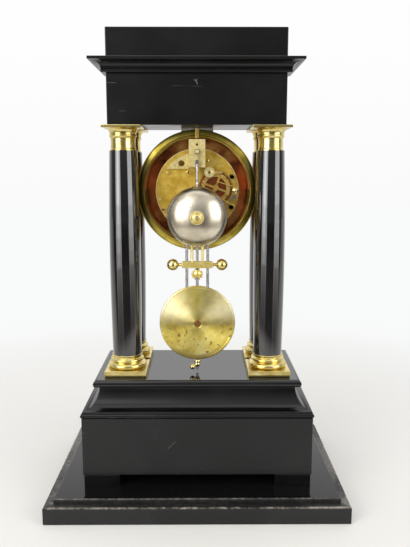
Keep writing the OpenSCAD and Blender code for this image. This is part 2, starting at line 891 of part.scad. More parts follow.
module crutch() {
    low = pallet_z + 2;
    color(steel) {
        difference() {
            union() {
                on_axis(a_pos, crutch_y + 1.2)
                    cylinder(r = 2.4, h = 1.2);
                on_axis(a_pos, crutch_y + 1.2)
                    translate([-1.1, -low, 0])
                        cube([2.2, low, 1.2]);
            }
            shaft(a_pos, crutch_y + 3, crutch_y - 1, arbor_r + seat);
        }
        for (s = [-1, 1])
            translate([s * (rod_r + 0.15 + 0.5) - 0.5, crutch_y, mz + pallet_z - low - 3])
                cube([1, pend_y + 2.4 - crutch_y, 2.2]);
        translate([-rod_r - 1.15, crutch_y, mz + pallet_z - low - 3])
            cube([2 * rod_r + 2.3, 1.2, 3.4]);
    }
}

// Strike train

module strike_barrel() {
    color(brass)
        barrel(s_pos, ph_sgreat);
}

module strike_arbor() {
    color(steel)
        barrel_arbor(s_pos);
}

module strike_second_wheel() {
    color(brass) {
        shaft(k_pos, count_y + 2.8, y_fin + shake, arbor_r);
        shaft(k_pos, y_fin + shake, y_front, pivot_r);
        on_axis(k_pos, y_in - lv_second)
            wheel(second_n, second_m, ph_second, wheel_t, 2.6, 4);
        on_axis(k_pos, y_in - lv_barrel - barrel_h + 2.2)
            pinion(second_pn, great_m, ph_second_p, 2.8);
    }
}

module count_wheel() {
    notches = [for (h = [1:12]) h * (h + 1) / 2 + h];
    color(brass)
        on_axis(k_pos, count_y + 1.2)
            difference() {
                union() {
                    difference() {
                        cylinder(r = count_r, h = 1.2);
                        translate([0, 0, -1])
                            cylinder(r = count_r - 4.4, h = 4);
                    }
                    for (i = [0:3])
                        rotate([0, 0, 20 + i * 90])
                            translate([0, -1.1, 0])
                                cube([count_r - 4, 2.2, 1.2]);
                    translate([0, 0, -1.4])
                        cylinder(r = 3.4, h = 2.6);
                }
                translate([0, 0, -5])
                    cylinder(r = arbor_r + seat, h = 10);
                for (n = notches)
                    rotate([0, 0, n * 4])
                        translate([count_r - 1.8, -0.5, -2])
                            cube([4, 1, 6]);
            }
}

module pin_wheel() {
    color(brass) {
        arbor(p_pos, arbor_r);
        on_axis(p_pos, y_in - lv_pin) {
            wheel(pin_n, pin_m, ph_pin, wheel_t, 2.4, 4, 2.9);
            for (i = [0:9])
                rotate([0, 0, i * 36 + 18])
                    translate([9.6, 0, 0.2])
                        cylinder(r = 0.45, h = wheel_t + 1.8);
        }
        on_axis(p_pos, y_in - lv_second + 0.6)
            pinion(pin_pn, second_m, ph_pin_p, wheel_t + 1.2);
    }
}

module stop_wheel() {
    color(brass) {
        arbor(l_pos, lean_r);
        on_axis(l_pos, y_in - lv_stop)
            wheel(stop_n, stop_m, ph_stop, 1, 1.6, 4);
        on_axis(l_pos, y_in - lv_pin + 0.5)
            pinion(stop_pn, pin_m, ph_stop_p, wheel_t + 1);
    }
}

module fly() {
    color(brass) {
        arbor(f_pos, lean_r);
        on_axis(f_pos, y_in - lv_stop + 0.5)
            pinion(fly_pn, stop_m, ph_fly_p, 2);
        on_axis(f_pos, y_in - 0.9)
            rotate([0, 0, 35])
                translate([-5.8, -0.4, 0])
                    cube([11.6, 0.8, 4]);
        shaft(f_pos, y_in - 0.7, y_in - 5.2, 1.3);
    }
}

module hammer() {
    aim = dir(h_pos, p_pos);
    tail = norm(p_pos - h_pos) - 10.7;
    fall = dir(h_pos, head_pos);
    run = norm(head_pos - h_pos);
    color(steel) {
        arbor(h_pos, arbor_r);
        shaft(h_pos, y_back + 7.4, y_back, pivot_r);
        on_axis(h_pos, y_in - lv_pin - wheel_t - 0.5) {
            cylinder(r = 2, h = 1.1);
            rotate([0, 0, aim])
                translate([0, -0.7, 0])
                    cube([tail, 1.4, 1.1]);
        }
        on_axis(h_pos, y_back + 8) {
            cylinder(r = 2.5, h = 2.4);
            rotate([0, 0, fall])
                translate([0, -0.65, 0.4])
                    cube([run, 1.3, 1.4]);
        }
        shaft(head_pos, bell_y + 2, y_back + 6.2, 1);
        shaft(head_pos, bell_y + 7, bell_y + 1.6, 2.5);
    }
}

module count_detent() {
    q = polar(k_pos, count_r + 1.3, 110);
    run = norm(q - detent_pos);
    color(brass)
        difference() {
            on_axis(detent_pos, y_back + 4.2) {
                cylinder(r = 6, h = 1.6);
                rotate([0, 0, dir(detent_pos, q)])
                    linear_extrude(1.2)
                        polygon([[0, 5.4], [7, 2.4], [run, 0.8], [run + 2, -0.2], [run, -1.2], [7, -1.6], [0, -5.4]]);
            }
            shaft(detent_pos, y_back + 6, y_back, detent_stud + run_clr);
        }
}

// Bell and hammer support

module bell() {
    n = 9;
    color(silver)
        translate([0, bell_y, mz + bell_z])
            rotate([-90, 0, 0])
                rotate_extrude($fn = 96)
                    polygon(concat([for (i = [0:n]) let(t = i * 86 / n)
                            [bell_r * cos(t), bell_h * sin(t)]],
                        [[bell_hole + run_clr, bell_h]],
                        [[bell_hole + run_clr, bell_h - bell_t]],
                        [for (i = [n:-1:0]) let(t = i * 86 / n)
                            [(bell_r - bell_t) * cos(t), (bell_h - bell_t) * sin(t)]]));
}

module bell_stand() {
    p = [25, bell_z - 2.8];
    b = [0, bell_z];
    y0 = bell_y + 5.4;
    color(steel) {
        shaft(p, y_back + 2, y_back, 5);
        shaft(p, y0 - 1, y_back + 1, 2);
        on_axis(p, y0)
            rotate([0, 0, dir(p, b)])
                translate([-2.7, -2.3, 0])
                    cube([norm(b - p) + 4.7, 4.6, 3.4]);
        shaft(b, bell_y + bell_h - bell_t - 2 * gap, y0 - 2.4, 2.8);
        shaft(b, bell_y + bell_h + 4.4, y0 + 4, bell_hole);
    }
}

module bell_nut() {
    color(gilt)
        translate([0, bell_y + bell_h, mz + bell_z])
            rotate([-90, 0, 0])
                rotate_extrude()
                    polygon([[bell_hole + run_clr, 0], [7.5, 0], [7.5, 1.6], [6.8, 2.2], [5, 2.4], [4.6, 3.4],
                        [3.2, 4], [bell_hole + run_clr, 4]]);
}

// Motion work and hands

module cannon_pinion() {
    color(brass)
        difference() {
            union() {
                on_axis(c_pos, y_front - 0.4)
                    pinion(cannon_n, motion_m, ph_cannon, 1.8);
                shaft(c_pos, y_front - 0.4, y_face - 3.6, 1.7);
            }
            shaft(c_pos, y_front + 1, y_face - 8, arbor_r + seat);
        }
}

module minute_wheel() {
    color(brass) {
        shaft(m_pos, y_front + plate_t / 2 - shake, y_front - 3.6, 0.8);
        on_axis(m_pos, y_front - 0.6)
            wheel(minute_n, motion_m, ph_minute, 1, 2, 4);
        on_axis(m_pos, y_front - 1.6)
            pinion(minute_pn, hour_m, ph_minute_p, 2);
    }
}

module hour_wheel() {
    color(brass)
        difference() {
            union() {
                on_axis(c_pos, y_front - 2.5)
                    linear_extrude(0.9)
                        polygon(teeth(hour_n, hour_m, ph_hour, 0.6, 1.3, 0.13, 0.27));
                shaft(c_pos, y_front - 2.5, y_face - 1.7, 2.6);
            }
            shaft(c_pos, y_front + 1, y_face - 8, 1.7 + run_clr);
        }
}

// A pierced moon hand, pointing up
module hand(len, ring, bore, hub, t) {
    difference() {
        union() {
            cylinder(r = hub, h = t);
            translate([-0.75, 0, 0])
                cube([1.5, len * 0.62, t]);
            translate([0, len * 0.66, 0])
                cylinder(r = ring, h = t);
            linear_extrude(t)
                polygon([[-0.9, len * 0.66 + ring - 0.6], [0.9, len * 0.66 + ring - 0.6], [0.15, len], [-0.15, len]]);
        }
        translate([0, 0, -1])
            cylinder(r = bore, h = t + 2);
        translate([0, len * 0.66 + ring * 0.2, -1])
            cylinder(r = ring * 0.55, h = t + 2);
    }
}

module minute_hand() {
    color(blued)
        on_axis(c_pos, y_face - 2.6)
            rotate([0, 0, -54])
                hand(44, 2.6, 1.7 + seat, 3, 0.8);
}

module hour_hand() {
    color(blued)
        on_axis(c_pos, y_face - 0.7)
            rotate([0, 0, 55.5])
                hand(30, 3.2, 2.6 + seat, 4.2, 0.8);
}

// Suspension and pendulum

module suspension_cock() {
    color(brass)
        difference() {
            union() {
                translate([-cock_w / 2, cock_y, mz + cock_low])
                    cube([cock_w, cock_t, cock_high - cock_low]);
                for (s = [-1, 1])
                    translate([s * (cock_w / 2 - 1.3) - 1.3, y_back, mz + cock_low])
                        cube([2.6, cock_y - y_back + 1, 14]);
                shaft(a_pos, pend_y + 2.6, cock_y + cock_t - 0.5, susp_pin_r);
                shaft(a_pos, pend_y + 3.4, pend_y + 2.6, susp_pin_r + 0.8);
            }
            shaft(a_pos, cock_y + cock_t - 1, cock_y - 1, arbor_r + run_clr);
            shaft([0, pallet_z + 7.4], cock_y + cock_t + 1, cock_y - 1, 1.3);
        }
}

module plate_cock() {
    color(brass)
        difference() {
            intersection() {
                shaft(c_pos, y_back + 2.4, y_back, 41.5);
                translate([9.6, y_back - 1, mz + 23.8])
                    cube([40, 5, 30]);
            }
            shaft([17.5, 30], y_back + 4, y_back - 1, 3.4);
        }
}

module suspension_spring() {
    color(steel)
        difference() {
            translate([0, pend_y, susp_z])
                union() {
                    translate([-2.4, -2.2, -2.4])
                        cube([4.8, 4.4, 4.8]);
                    translate([-0.15, -1.6, 4 - spring_len])
                        cube([0.3, 3.2, spring_len - 6]);
                    translate([-1.7, -1.7, -spring_len])
                        cube([3.4, 3.4, 4.5]);
                }
            shaft(a_pos, pend_y + 5, pend_y - 5, susp_pin_r + run_clr);
        }
}

module pendulum_rod() {
    z1 = susp_z - spring_len;
    color(steel)
        translate([0, pend_y, top_bar_z + bar_h / 2])
            cylinder(r = rod_r, h = z1 - top_bar_z - bar_h / 2);
}

module steel_rods() {
    color(steel) {
        for (i = [-2, 0, 2])
            translate([i * rod_pitch, pend_y, low_bar_z + bar_h / 2])
                cylinder(r = rod_r, h = top_bar_z - low_bar_z - bar_h);
        for (i = [-2, 2])
            translate([i * rod_pitch, pend_y, bob_z])
                cylinder(r = rod_r, h = low_bar_z - bar_h / 2 - bob_z);
        union() {
            translate([0, pend_y, bob_z])
                cylinder(r = rod_r, h = low_bar_z - bar_h / 2 - bob_z);
            translate([0, pend_y, screw_z])
                cylinder(r = screw_r, h = bob_z - screw_z);
        }
    }
}

module brass_rods() {
    color(gilt)
        for (i = [-1, 1])
            translate([i * rod_pitch, pend_y, low_bar_z + bar_h / 2])
                cylinder(r = rod_r, h = top_bar_z - low_bar_z - bar_h);
}

module gridiron_bars() {
    bw = 4 * rod_pitch + 2 * rod_r + yoke_over;
    color(gilt) {
        translate([-bw / 2, pend_y - bar_t / 2, top_bar_z - bar_h / 2])
            cube([bw, bar_t, bar_h]);
        translate([-bw / 2, pend_y - bar_t / 2, low_bar_z - bar_h / 2])
            cube([bw, bar_t, bar_h]);
        for (s = [-1, 1])
            translate([s * bw / 2, pend_y, low_bar_z])
                rotate([0, s * 90, 0])
                    rotate_extrude()
                        polygon(concat([[0, -0.5], [2, -0.5], [2, 1.6], [1.6, 2.2], [1.6, 3.4], [2.2, 4]],
                            [for (i = [0:8]) let(t = -66 + i * 19.5) [6.4 * cos(t), 9.9 + 6.4 * sin(t)]],
                            [[0, 16.3]]));
        translate([0, pend_y + 1.6, low_bar_z - bar_h / 2 + 0.5])
            rotate([-90, 0, 0])
                linear_extrude(2.4)
                    polygon([[-2.6, 0], [-2.6, 3], [-4.8, 3.6], [-5.9, 5.4], [-5.1, 6.6], [-5.9, 8], [-5.1, 9.4], [-5.4, 10.6],
                        [-3.4, 11.2], [-2.8, 13.6], [0, 14.2], [2.8, 13.6], [3.4, 11.2], [5.4, 10.6], [5.1, 9.4],
                        [5.9, 8], [5.1, 6.6], [5.9, 5.4], [4.8, 3.6], [2.6, 3], [2.6, 0]]);
    }
}

module pendulum_bob() {
    h = bob_t / 2;
    color(gilt)
        difference() {
            translate([0, pend_y, bob_z])
                rotate([-90, 0, 0])
                    rotate_extrude($fn = 120)
                        polygon([[0, -h], [bob_r - 9, -h], [bob_r - 2.5, -h + 2.4], [bob_r - 0.4, -1], [bob_r, 0],
                            [bob_r - 0.2, 1.4], [bob_r - 1.4, 2.4], [bob_r - 3.2, 2.6], [bob_r - 4.4, 1.8],
                            [12, h - 1.8], [9.5, h - 1.5], [9.2, h - 0.6], [5, h - 0.6], [4.8, h], [0, h]]);
            translate([-2 * rod_pitch - rod_r - gap, pend_y - bob_t, bob_z - 2])
                cube([4 * rod_pitch + 2 * rod_r + 2 * gap, bob_t + rod_r + seat, bob_r + 4]);
            translate([-screw_r - gap, pend_y - bob_t, bob_z - bob_r - 2])
                cube([2 * screw_r + 2 * gap, bob_t + screw_r + seat, bob_r + 1]);
        }
}

module rating_nut() {
    color(gilt)
        difference() {
            translate([0, pend_y, nut_top - nut_len])
                union() {
                    rotate_extrude()
                        polygon([[0, 0], [1.9, 0], [2.2, 1.2], [3, 2], [3.3, 3.2], [3, 4.4], [3.4, 5.2],
                            [3.4, nut_len - 1], [2.8, nut_len], [0, nut_len]]);
                    rotate([0, 0, 36.5]) {
                        translate([2, 0, 2.6])
                            rotate([0, 110, 0])
                                cylinder(r = 0.9, h = 4.4);
                        translate([6.7, 0, 0.9])
                            sphere(r = 3);
                    }
                }
            translate([0, pend_y, screw_z])
                cylinder(r = screw_r + run_clr, h = nut_len + screw_out + 1);
        }
}

base_board();
plinth_feet();
plinth_box();
plinth_moulding();
plinth_top();
column_bases();
columns();
capitals();
tie_rods();
frieze_box();
cornice();
attic_block();
drum_case();
rear_rim();
drum_saddle();
hanger_bolts();
drum_straps();
front_ring();
bezel_door();
dial_glass();
hinge_pin();
dial();
back_plate();
front_plate();
plate_pillars();
mainsprings();
going_barrel();
going_arbor();
intermediate_wheel();
centre_wheel();
third_wheel();
escape_wheel();
pallet_anchor();
crutch();
strike_barrel();
strike_arbor();
strike_second_wheel();
count_wheel();
pin_wheel();
stop_wheel();
fly();
hammer();
count_detent();
bell();
bell_stand();
bell_nut();
cannon_pinion();
minute_wheel();
hour_wheel();
minute_hand();
hour_hand();
suspension_cock();
plate_cock();
suspension_spring();
pendulum_rod();
steel_rods();
brass_rods();
gridiron_bars();
pendulum_bob();
rating_nut();
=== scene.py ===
# Looks of a portico clock seen from behind: ebonised case, gilt mounts, open drum movement, gridiron pendulum.
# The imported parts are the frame. Meshes are built in millimetres and scaled to metres when a piece is finished.
import bpy
import bmesh
from math import radians, cos, sin, pi
from mathutils import Matrix, Vector


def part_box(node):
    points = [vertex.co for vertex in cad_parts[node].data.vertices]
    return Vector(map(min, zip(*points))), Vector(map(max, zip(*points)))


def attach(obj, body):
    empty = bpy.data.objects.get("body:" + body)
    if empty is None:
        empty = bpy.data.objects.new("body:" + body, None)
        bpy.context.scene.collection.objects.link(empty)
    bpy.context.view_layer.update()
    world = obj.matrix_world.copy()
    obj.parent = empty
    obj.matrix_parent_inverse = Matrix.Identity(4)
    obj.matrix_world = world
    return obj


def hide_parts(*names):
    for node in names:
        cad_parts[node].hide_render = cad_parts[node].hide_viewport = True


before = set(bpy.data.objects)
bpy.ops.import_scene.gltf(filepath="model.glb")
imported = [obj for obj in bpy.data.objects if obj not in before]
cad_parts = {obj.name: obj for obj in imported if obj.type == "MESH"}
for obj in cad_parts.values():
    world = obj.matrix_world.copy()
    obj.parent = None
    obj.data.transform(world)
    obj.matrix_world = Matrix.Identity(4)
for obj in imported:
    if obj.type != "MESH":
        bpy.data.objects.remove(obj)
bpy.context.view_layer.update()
scene = bpy.context.scene
scene.view_settings.view_transform = "Standard"
MM = 0.001


def corners(node):
    """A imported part's lowest and highest corner in millimetres."""
    lo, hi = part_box(node)
    return Vector(lo) / MM, Vector(hi) / MM


def middle(node):
    """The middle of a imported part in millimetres."""
    lo, hi = corners(node)
    return (lo + hi) / 2


def radius(node):
    """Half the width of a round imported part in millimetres."""
    lo, hi = corners(node)
    return (hi.x - lo.x) / 2


# Places and sizes of the movement in millimetres: its axis, the drum's front, dial, pendulum, bell and count wheel
MZ = middle("back_plate").z
PLATE_R = radius("back_plate")
FORE_Y = corners("drum_case")[0].y
Y_FACE = corners("dial")[0].y
PEND_Y = middle("brass_rods").y
BOB_Z = middle("pendulum_bob").z
BOB_R = radius("pendulum_bob")
BELL = Vector((0.0, corners("bell")[0].y, middle("bell").z))
BELL_R = radius("bell")
COUNT = Vector((-20.5, 0.0, MZ + 3.0))


# Camera at the photograph's place

def look():
    place = (-0.0043, 0.6969, 0.3608)
    yaw, dip = radians(0.36), radians(9.30)
    # focal length and picture height in pixels, sensor in millimetres
    focal, tall, sensor = 617.0, 547.0, 36.0
    ahead = Vector((-sin(yaw) * cos(dip), -cos(yaw) * cos(dip), -sin(dip)))
    right = Vector((-cos(yaw), sin(yaw), 0.0))
    turn = Matrix((right, right.cross(ahead), -ahead)).transposed().to_4x4()
    cam = bpy.data.objects.new("camera", bpy.data.cameras.new("camera"))
    scene.collection.objects.link(cam)
    cam.data.sensor_width = sensor
    cam.data.lens = focal * sensor / tall
    cam.data.clip_start = 0.02
    cam.matrix_world = Matrix.Translation(place) @ turn
    scene.camera = cam


look()


# Colour and shader helpers

# sockets of a Mix node that mixes two colours
FROM, TO, MIXED = 6, 7, 2


def lin(code):
    """sRGB hex to linear colour."""
    c = [int(code[i:i + 2], 16) / 255 for i in (1, 3, 5)]
    return tuple(v / 12.92 if v <= 0.04045 else ((v + 0.055) / 1.055) ** 2.4 for v in c) + (1.0,)


def feed(tree, node, inputs):
    """Gives a node's inputs their values, or links them to the sockets that feed them."""
    for name, v in inputs.items():
        if isinstance(v, bpy.types.NodeSocket):
            tree.links.new(v, node.inputs[name])
        else:
            node.inputs[name].default_value = v


def put(tree, kind, inputs, out=0, stops=(), **settings):
    """Adds a shader node with its settings and links; gives one output, or all of them where out is None.

    Stops are the places on a colour ramp with their hex colours or grey values."""
    node = tree.nodes.new("ShaderNode" + kind)
    for name, v in settings.items():
        setattr(node, name, v)
    if stops:
        marks = node.color_ramp.elements
        while len(marks) < len(stops):
            marks.new(0.5)
        for mark, (at, c) in zip(marks, stops):
            mark.position = at
            mark.color = lin(c) if isinstance(c, str) else (c, c, c, 1.0)
    feed(tree, node, inputs)
    return node.outputs if out is None else node.outputs[out]


def fresh(name):
    """A material, its tree, its shader and the piece's own coordinates in metres."""
    mat = bpy.data.materials.new(name)
    mat.use_nodes = True
    t = mat.node_tree
    return mat, t, t.nodes["Principled BSDF"], put(t, "TexCoord", {}, "Object")


def ring_coords(t, co, centre):
    """Radius in metres and angle round an axis that runs front to back through centre, in millimetres."""
    v = put(t, "VectorMath", {0: co, 1: [c * MM for c in centre]}, operation="SUBTRACT")
    s = put(t, "SeparateXYZ", {0: v}, None)
    flat = put(t, "CombineXYZ", {0: s["X"], 1: s["Z"]})
    r = put(t, "VectorMath", {0: flat}, "Value", operation="LENGTH")
    w = put(t, "Math", {0: s["Z"], 1: s["X"]}, operation="ARCTAN2")
    return r, w


def sideways(t, w):
    """How far to the left or right an angle lies: 0 above and below the axis, 1 at both sides."""
    swing = put(t, "Math", {0: w}, operation="COSINE")
    return put(t, "Math", {0: swing}, operation="ABSOLUTE")


# Woods

def ebonised_satin():
    """Pearwood stained black and rubbed with shellac: black, faint long grain, satin with rubbed and dusty patches."""
    mat, t, shader, co = fresh("ebonised_pearwood_satin")
    # long grain 0.6 mm wide and 40 mm long, drawn three times as coarse so that it shows
    long = put(t, "Mapping", {"Vector": co, "Scale": (25, 25, 550)})
    grain = put(t, "TexNoise", {"Vector": long, "Scale": 1.0, "Detail": 5.0, "Roughness": 0.6}, "Fac")
    # rubbed patches 60 mm across
    rub = put(t, "TexNoise", {"Vector": co, "Scale": 16.0, "Detail": 4.0, "Roughness": 0.55}, "Fac")
    tone = put(t, "ValToRGB", {"Fac": rub}, stops=((0.3, "#070708"), (0.55, "#0b0b0d"), (0.75, "#131315")))
    # hairline scratches, a few centimetres long
    slant = put(t, "Mapping", {"Vector": co, "Rotation": (0.0, 0.7, 0.3), "Scale": (18, 30, 520)})
    hair = put(t, "TexNoise", {"Vector": slant, "Scale": 1.0, "Detail": 2.0, "Distortion": 0.6}, "Fac")
    mark = put(t, "ValToRGB", {"Fac": hair}, stops=((0.75, 0.0), (0.77, 0.6)))
    # scratches as short arcs on the back: place, radius, angle and half its span, half a width, depth
    s = put(t, "SeparateXYZ", {0: co}, None)
    rear = put(t, "Math", {0: s["Y"], 1: 30 * MM}, operation="GREATER_THAN")
    for x, z, bend, turn, span, half, depth in (
            (4.5, 450.0, 5.0, 2.7, 0.85, 0.4, 0.6), (-3.5, 453.0, 4.0, 0.2, 0.6, 0.3, 0.5),
            (-2.7, 42.3, 42.0, 0.78, 0.14, 0.22, 0.3), (-5.0, 41.0, 45.0, 0.66, 0.05, 0.2, 0.3)):
        r, w = ring_coords(t, co, (x, 0.0, z))
        near = put(t, "Math", {0: r, 1: bend * MM, 2: half * MM}, operation="COMPARE")
        part = put(t, "Math", {0: w, 1: turn, 2: span}, operation="COMPARE")
        cut = put(t, "Math", {0: near, 1: part}, operation="MULTIPLY")
        faint = put(t, "Math", {0: rear, 1: depth}, operation="MULTIPLY")
        nick = put(t, "Math", {0: cut, 1: faint}, operation="MULTIPLY")
        mark = put(t, "Math", {0: mark, 1: nick}, operation="MAXIMUM")
    worn = put(t, "Mix", {"Factor": mark, FROM: tone, TO: lin("#7a756f")}, MIXED, data_type="RGBA")
    gloss = put(t, "MapRange", {"Value": rub, "From Min": 0.3, "From Max": 0.7, "To Min": 0.20, "To Max": 0.28})
    bump = put(t, "Bump", {"Height": grain, "Strength": 0.18, "Distance": 0.4 * MM})
    feed(t, shader, {"Base Color": worn, "Roughness": gloss, "IOR": 1.42, "Normal": bump})
    return mat


def ebonised_gloss(name, coat):
    """The same wood under full french polish: deep black with a mirror gloss that waves a little."""
    mat, t, shader, co = fresh(name)
    # waves of the hand-rubbed film, 30 mm apart
    wave = put(t, "TexNoise", {"Vector": co, "Scale": 33.0, "Detail": 2.0}, "Fac")
    tone = put(t, "ValToRGB", {"Fac": wave}, stops=((0.35, "#0a090a"), (0.7, "#121011")))
    # fine rubbing marks 0.3 mm wide, drawn three times as coarse
    rub = put(t, "TexNoise", {"Vector": co, "Scale": 900.0, "Detail": 3.0}, "Fac")
    dull = put(t, "MapRange", {"Value": rub, "From Min": 0.3, "From Max": 0.75, "To Min": 0.05, "To Max": 0.10})
    bump = put(t, "Bump", {"Height": wave, "Strength": 0.05, "Distance": 0.6 * MM})
    feed(t, shader, {"Base Color": tone, "Roughness": dull, "IOR": 1.5, "Coat Weight": coat, "Coat Roughness": 0.04,
                     "Coat IOR": 1.6, "Normal": bump})
    return mat


def worn_board():
    """Polished black board whose ledge and arrises are rubbed down to grey-brown wood."""
    mat, t, shader, co = fresh("ebonised_board_worn")
    rim = corners("base_board")[1] * MM
    s = put(t, "SeparateXYZ", {0: co}, None)
    ax = put(t, "Math", {0: s["X"]}, operation="ABSOLUTE")
    ay = put(t, "Math", {0: s["Y"]}, operation="ABSOLUTE")
    ex = put(t, "Math", {0: ax, 1: rim.x}, operation="SUBTRACT")
    ey = put(t, "Math", {0: ay, 1: rim.y}, operation="SUBTRACT")
    # distance from the board's outline, less than 0 inside it
    out = put(t, "Math", {0: ex, 1: ey}, operation="MAXIMUM")
    # wear lies on the ledge round the panel, most on its outer arris and on the arris of the panel
    ledge = put(t, "MapRange", {"Value": out, "From Min": -10.8 * MM, "From Max": -9.0 * MM})
    high = put(t, "MapRange", {"Value": s["Z"], "From Min": 17.2 * MM, "From Max": 18.6 * MM})
    flank = put(t, "Math", {0: ex, 1: ey}, operation="GREATER_THAN")
    worn = put(t, "MapRange", {"Value": flank, "To Min": 0.06, "To Max": 0.5})
    arris = put(t, "MapRange", {"Value": out, "From Min": -2.4 * MM, "From Max": -1.2 * MM,
                                "To Min": worn, "To Max": 1.0})
    flat = put(t, "Math", {0: ledge, 1: arris}, operation="MULTIPLY")
    spot = put(t, "Math", {0: flat, 1: high}, operation="MULTIPLY")
    top = put(t, "Math", {0: out, 1: -10.3 * MM, 2: 0.7 * MM}, operation="COMPARE")
    crest = put(t, "MapRange", {"Value": s["Z"], "From Min": 22.5 * MM, "From Max": 23.2 * MM,
                                "To Min": 0.0, "To Max": 0.35})
    lip = put(t, "Math", {0: top, 1: crest}, operation="MULTIPLY")
    both = put(t, "Math", {0: spot, 1: lip}, operation="MAXIMUM")
    # rubbed patches 5 mm across with flakes, broken into lengths of 60 mm
    patch = put(t, "TexNoise", {"Vector": co, "Scale": 210.0, "Detail": 8.0, "Roughness": 0.75}, "Fac")
    run = put(t, "TexNoise", {"Vector": co, "Scale": 16.0, "Detail": 3.0}, "Fac")
    mixed = put(t, "Math", {0: patch, 1: run}, operation="ADD")
    half = put(t, "Math", {0: mixed, 1: 0.5}, operation="MULTIPLY")
    cut = put(t, "ValToRGB", {"Fac": half}, stops=((0.44, 0.0), (0.56, 0.85)))
    wear = put(t, "Math", {0: both, 1: cut}, operation="MULTIPLY")
    wood = put(t, "ValToRGB", {"Fac": patch}, stops=((0.4, "#6b655c"), (0.7, "#b4ada1")))
    base = put(t, "ValToRGB", {"Fac": patch}, stops=((0.3, "#0b0b0c"), (0.8, "#151516")))
    col = put(t, "Mix", {"Factor": wear, FROM: base, TO: wood}, MIXED, data_type="RGBA")
    # the raised panel keeps its gloss, the ledge is satin
    film = put(t, "MapRange", {"Value": out, "From Min": -11.5 * MM, "From Max": -9.5 * MM,
                               "To Min": 0.08, "To Max": 0.42})
    bump = put(t, "Bump", {"Height": patch, "Strength": 0.04, "Distance": 0.6 * MM})
    feed(t, shader, {"Base Color": col, "Roughness": film, "IOR": 1.45, "Normal": bump})
    return mat


def bare_wood():
    """Pearwood packing, matt with fine grain, made pale as painted light so that its shaded back matches the bright
    soffit; stained black only where it shows beside the dial.
    """
    mat, t, shader, co = fresh("bare_pearwood")
    # grain 1 mm wide and 25 mm long
    long = put(t, "Mapping", {"Vector": co, "Scale": (900, 40, 900)})
    grain = put(t, "TexNoise", {"Vector": long, "Scale": 1.0, "Detail": 4.0}, "Fac")
    # painted light: the pale tone lightens the shaded back of the packing
    pale = put(t, "ValToRGB", {"Fac": grain}, stops=((0.3, "#cfc7bb"), (0.7, "#e6dfd4")))
    rear = corners("drum_saddle")[1].y
    s = put(t, "SeparateXYZ", {0: co}, None)
    stain = put(t, "MapRange", {"Value": s["Y"], "From Min": (rear - 1.5) * MM, "From Max": (rear - 3.5) * MM})
    col = put(t, "Mix", {"Factor": stain, FROM: pale, TO: lin("#131213")}, MIXED, data_type="RGBA")
    feed(t, shader, {"Base Color": col, "Roughness": 0.7})
    return mat


# Metals

def metal(name, dark, mid, light, rough, spread, cell, bumps):
    """A metal with tarnish patches: colours from dark to light, roughness and its spread, patch size in millimetres."""
    mat, t, shader, co = fresh(name)
    patch = put(t, "TexNoise", {"Vector": co, "Scale": 1 / (cell * MM), "Detail": 6.0, "Roughness": 0.6}, "Fac")
    col = put(t, "ValToRGB", {"Fac": patch}, stops=((0.28, dark), (0.5, mid), (0.72, light)))
    dull = put(t, "MapRange", {"Value": patch, "From Min": 0.3, "From Max": 0.7,
                               "To Min": rough + spread, "To Max": rough})
    # pores of the surface, 0.5 mm apart
    fine = put(t, "TexNoise", {"Vector": co, "Scale": 1800.0, "Detail": 3.0}, "Fac")
    bump = put(t, "Bump", {"Height": fine, "Strength": bumps, "Distance": 0.2 * MM})
    feed(t, shader, {"Base Color": col, "Metallic": 1.0, "Roughness": dull, "Normal": bump})
    return mat


def rim_brass():
    """Turned brass rim under old lacquer: olive yellow, half gloss, with painted shade at both sides that stands for
    the dark columns it mirrors.
    """
    mat, t, shader, co = fresh("lacquered_turned_brass")
    # clouds in the lacquer 14 mm across
    patch = put(t, "TexNoise", {"Vector": co, "Scale": 70.0, "Detail": 6.0, "Roughness": 0.6}, "Fac")
    tone = put(t, "ValToRGB", {"Fac": patch}, stops=((0.28, "#ac9838"), (0.5, "#d2bc56"), (0.72, "#e2d27c")))
    r, w = ring_coords(t, co, (0, 0, MZ))
    # painted shade: dark brown towards both sides, standing for the columns mirrored in the rim
    painted_side_shade = put(t, "MapRange", {"Value": sideways(t, w), "From Min": 0.76, "From Max": 0.96,
                               "To Min": 0.0, "To Max": 0.82})
    col = put(t, "Mix", {"Factor": painted_side_shade, FROM: tone, TO: lin("#3a2a12")}, MIXED, data_type="RGBA")
    dull = put(t, "MapRange", {"Value": patch, "From Min": 0.3, "From Max": 0.7, "To Min": 0.38, "To Max": 0.30})
    # turning marks 0.4 mm apart, drawn twice as coarse
    mark = put(t, "TexNoise", {"W": r, "Scale": 1250.0, "Detail": 2.0}, "Fac", noise_dimensions="1D")
    bump = put(t, "Bump", {"Height": mark, "Strength": 0.05, "Distance": 0.2 * MM})
    feed(t, shader, {"Base Color": col, "Metallic": 1.0, "Roughness": dull, "Normal": bump})
    return mat


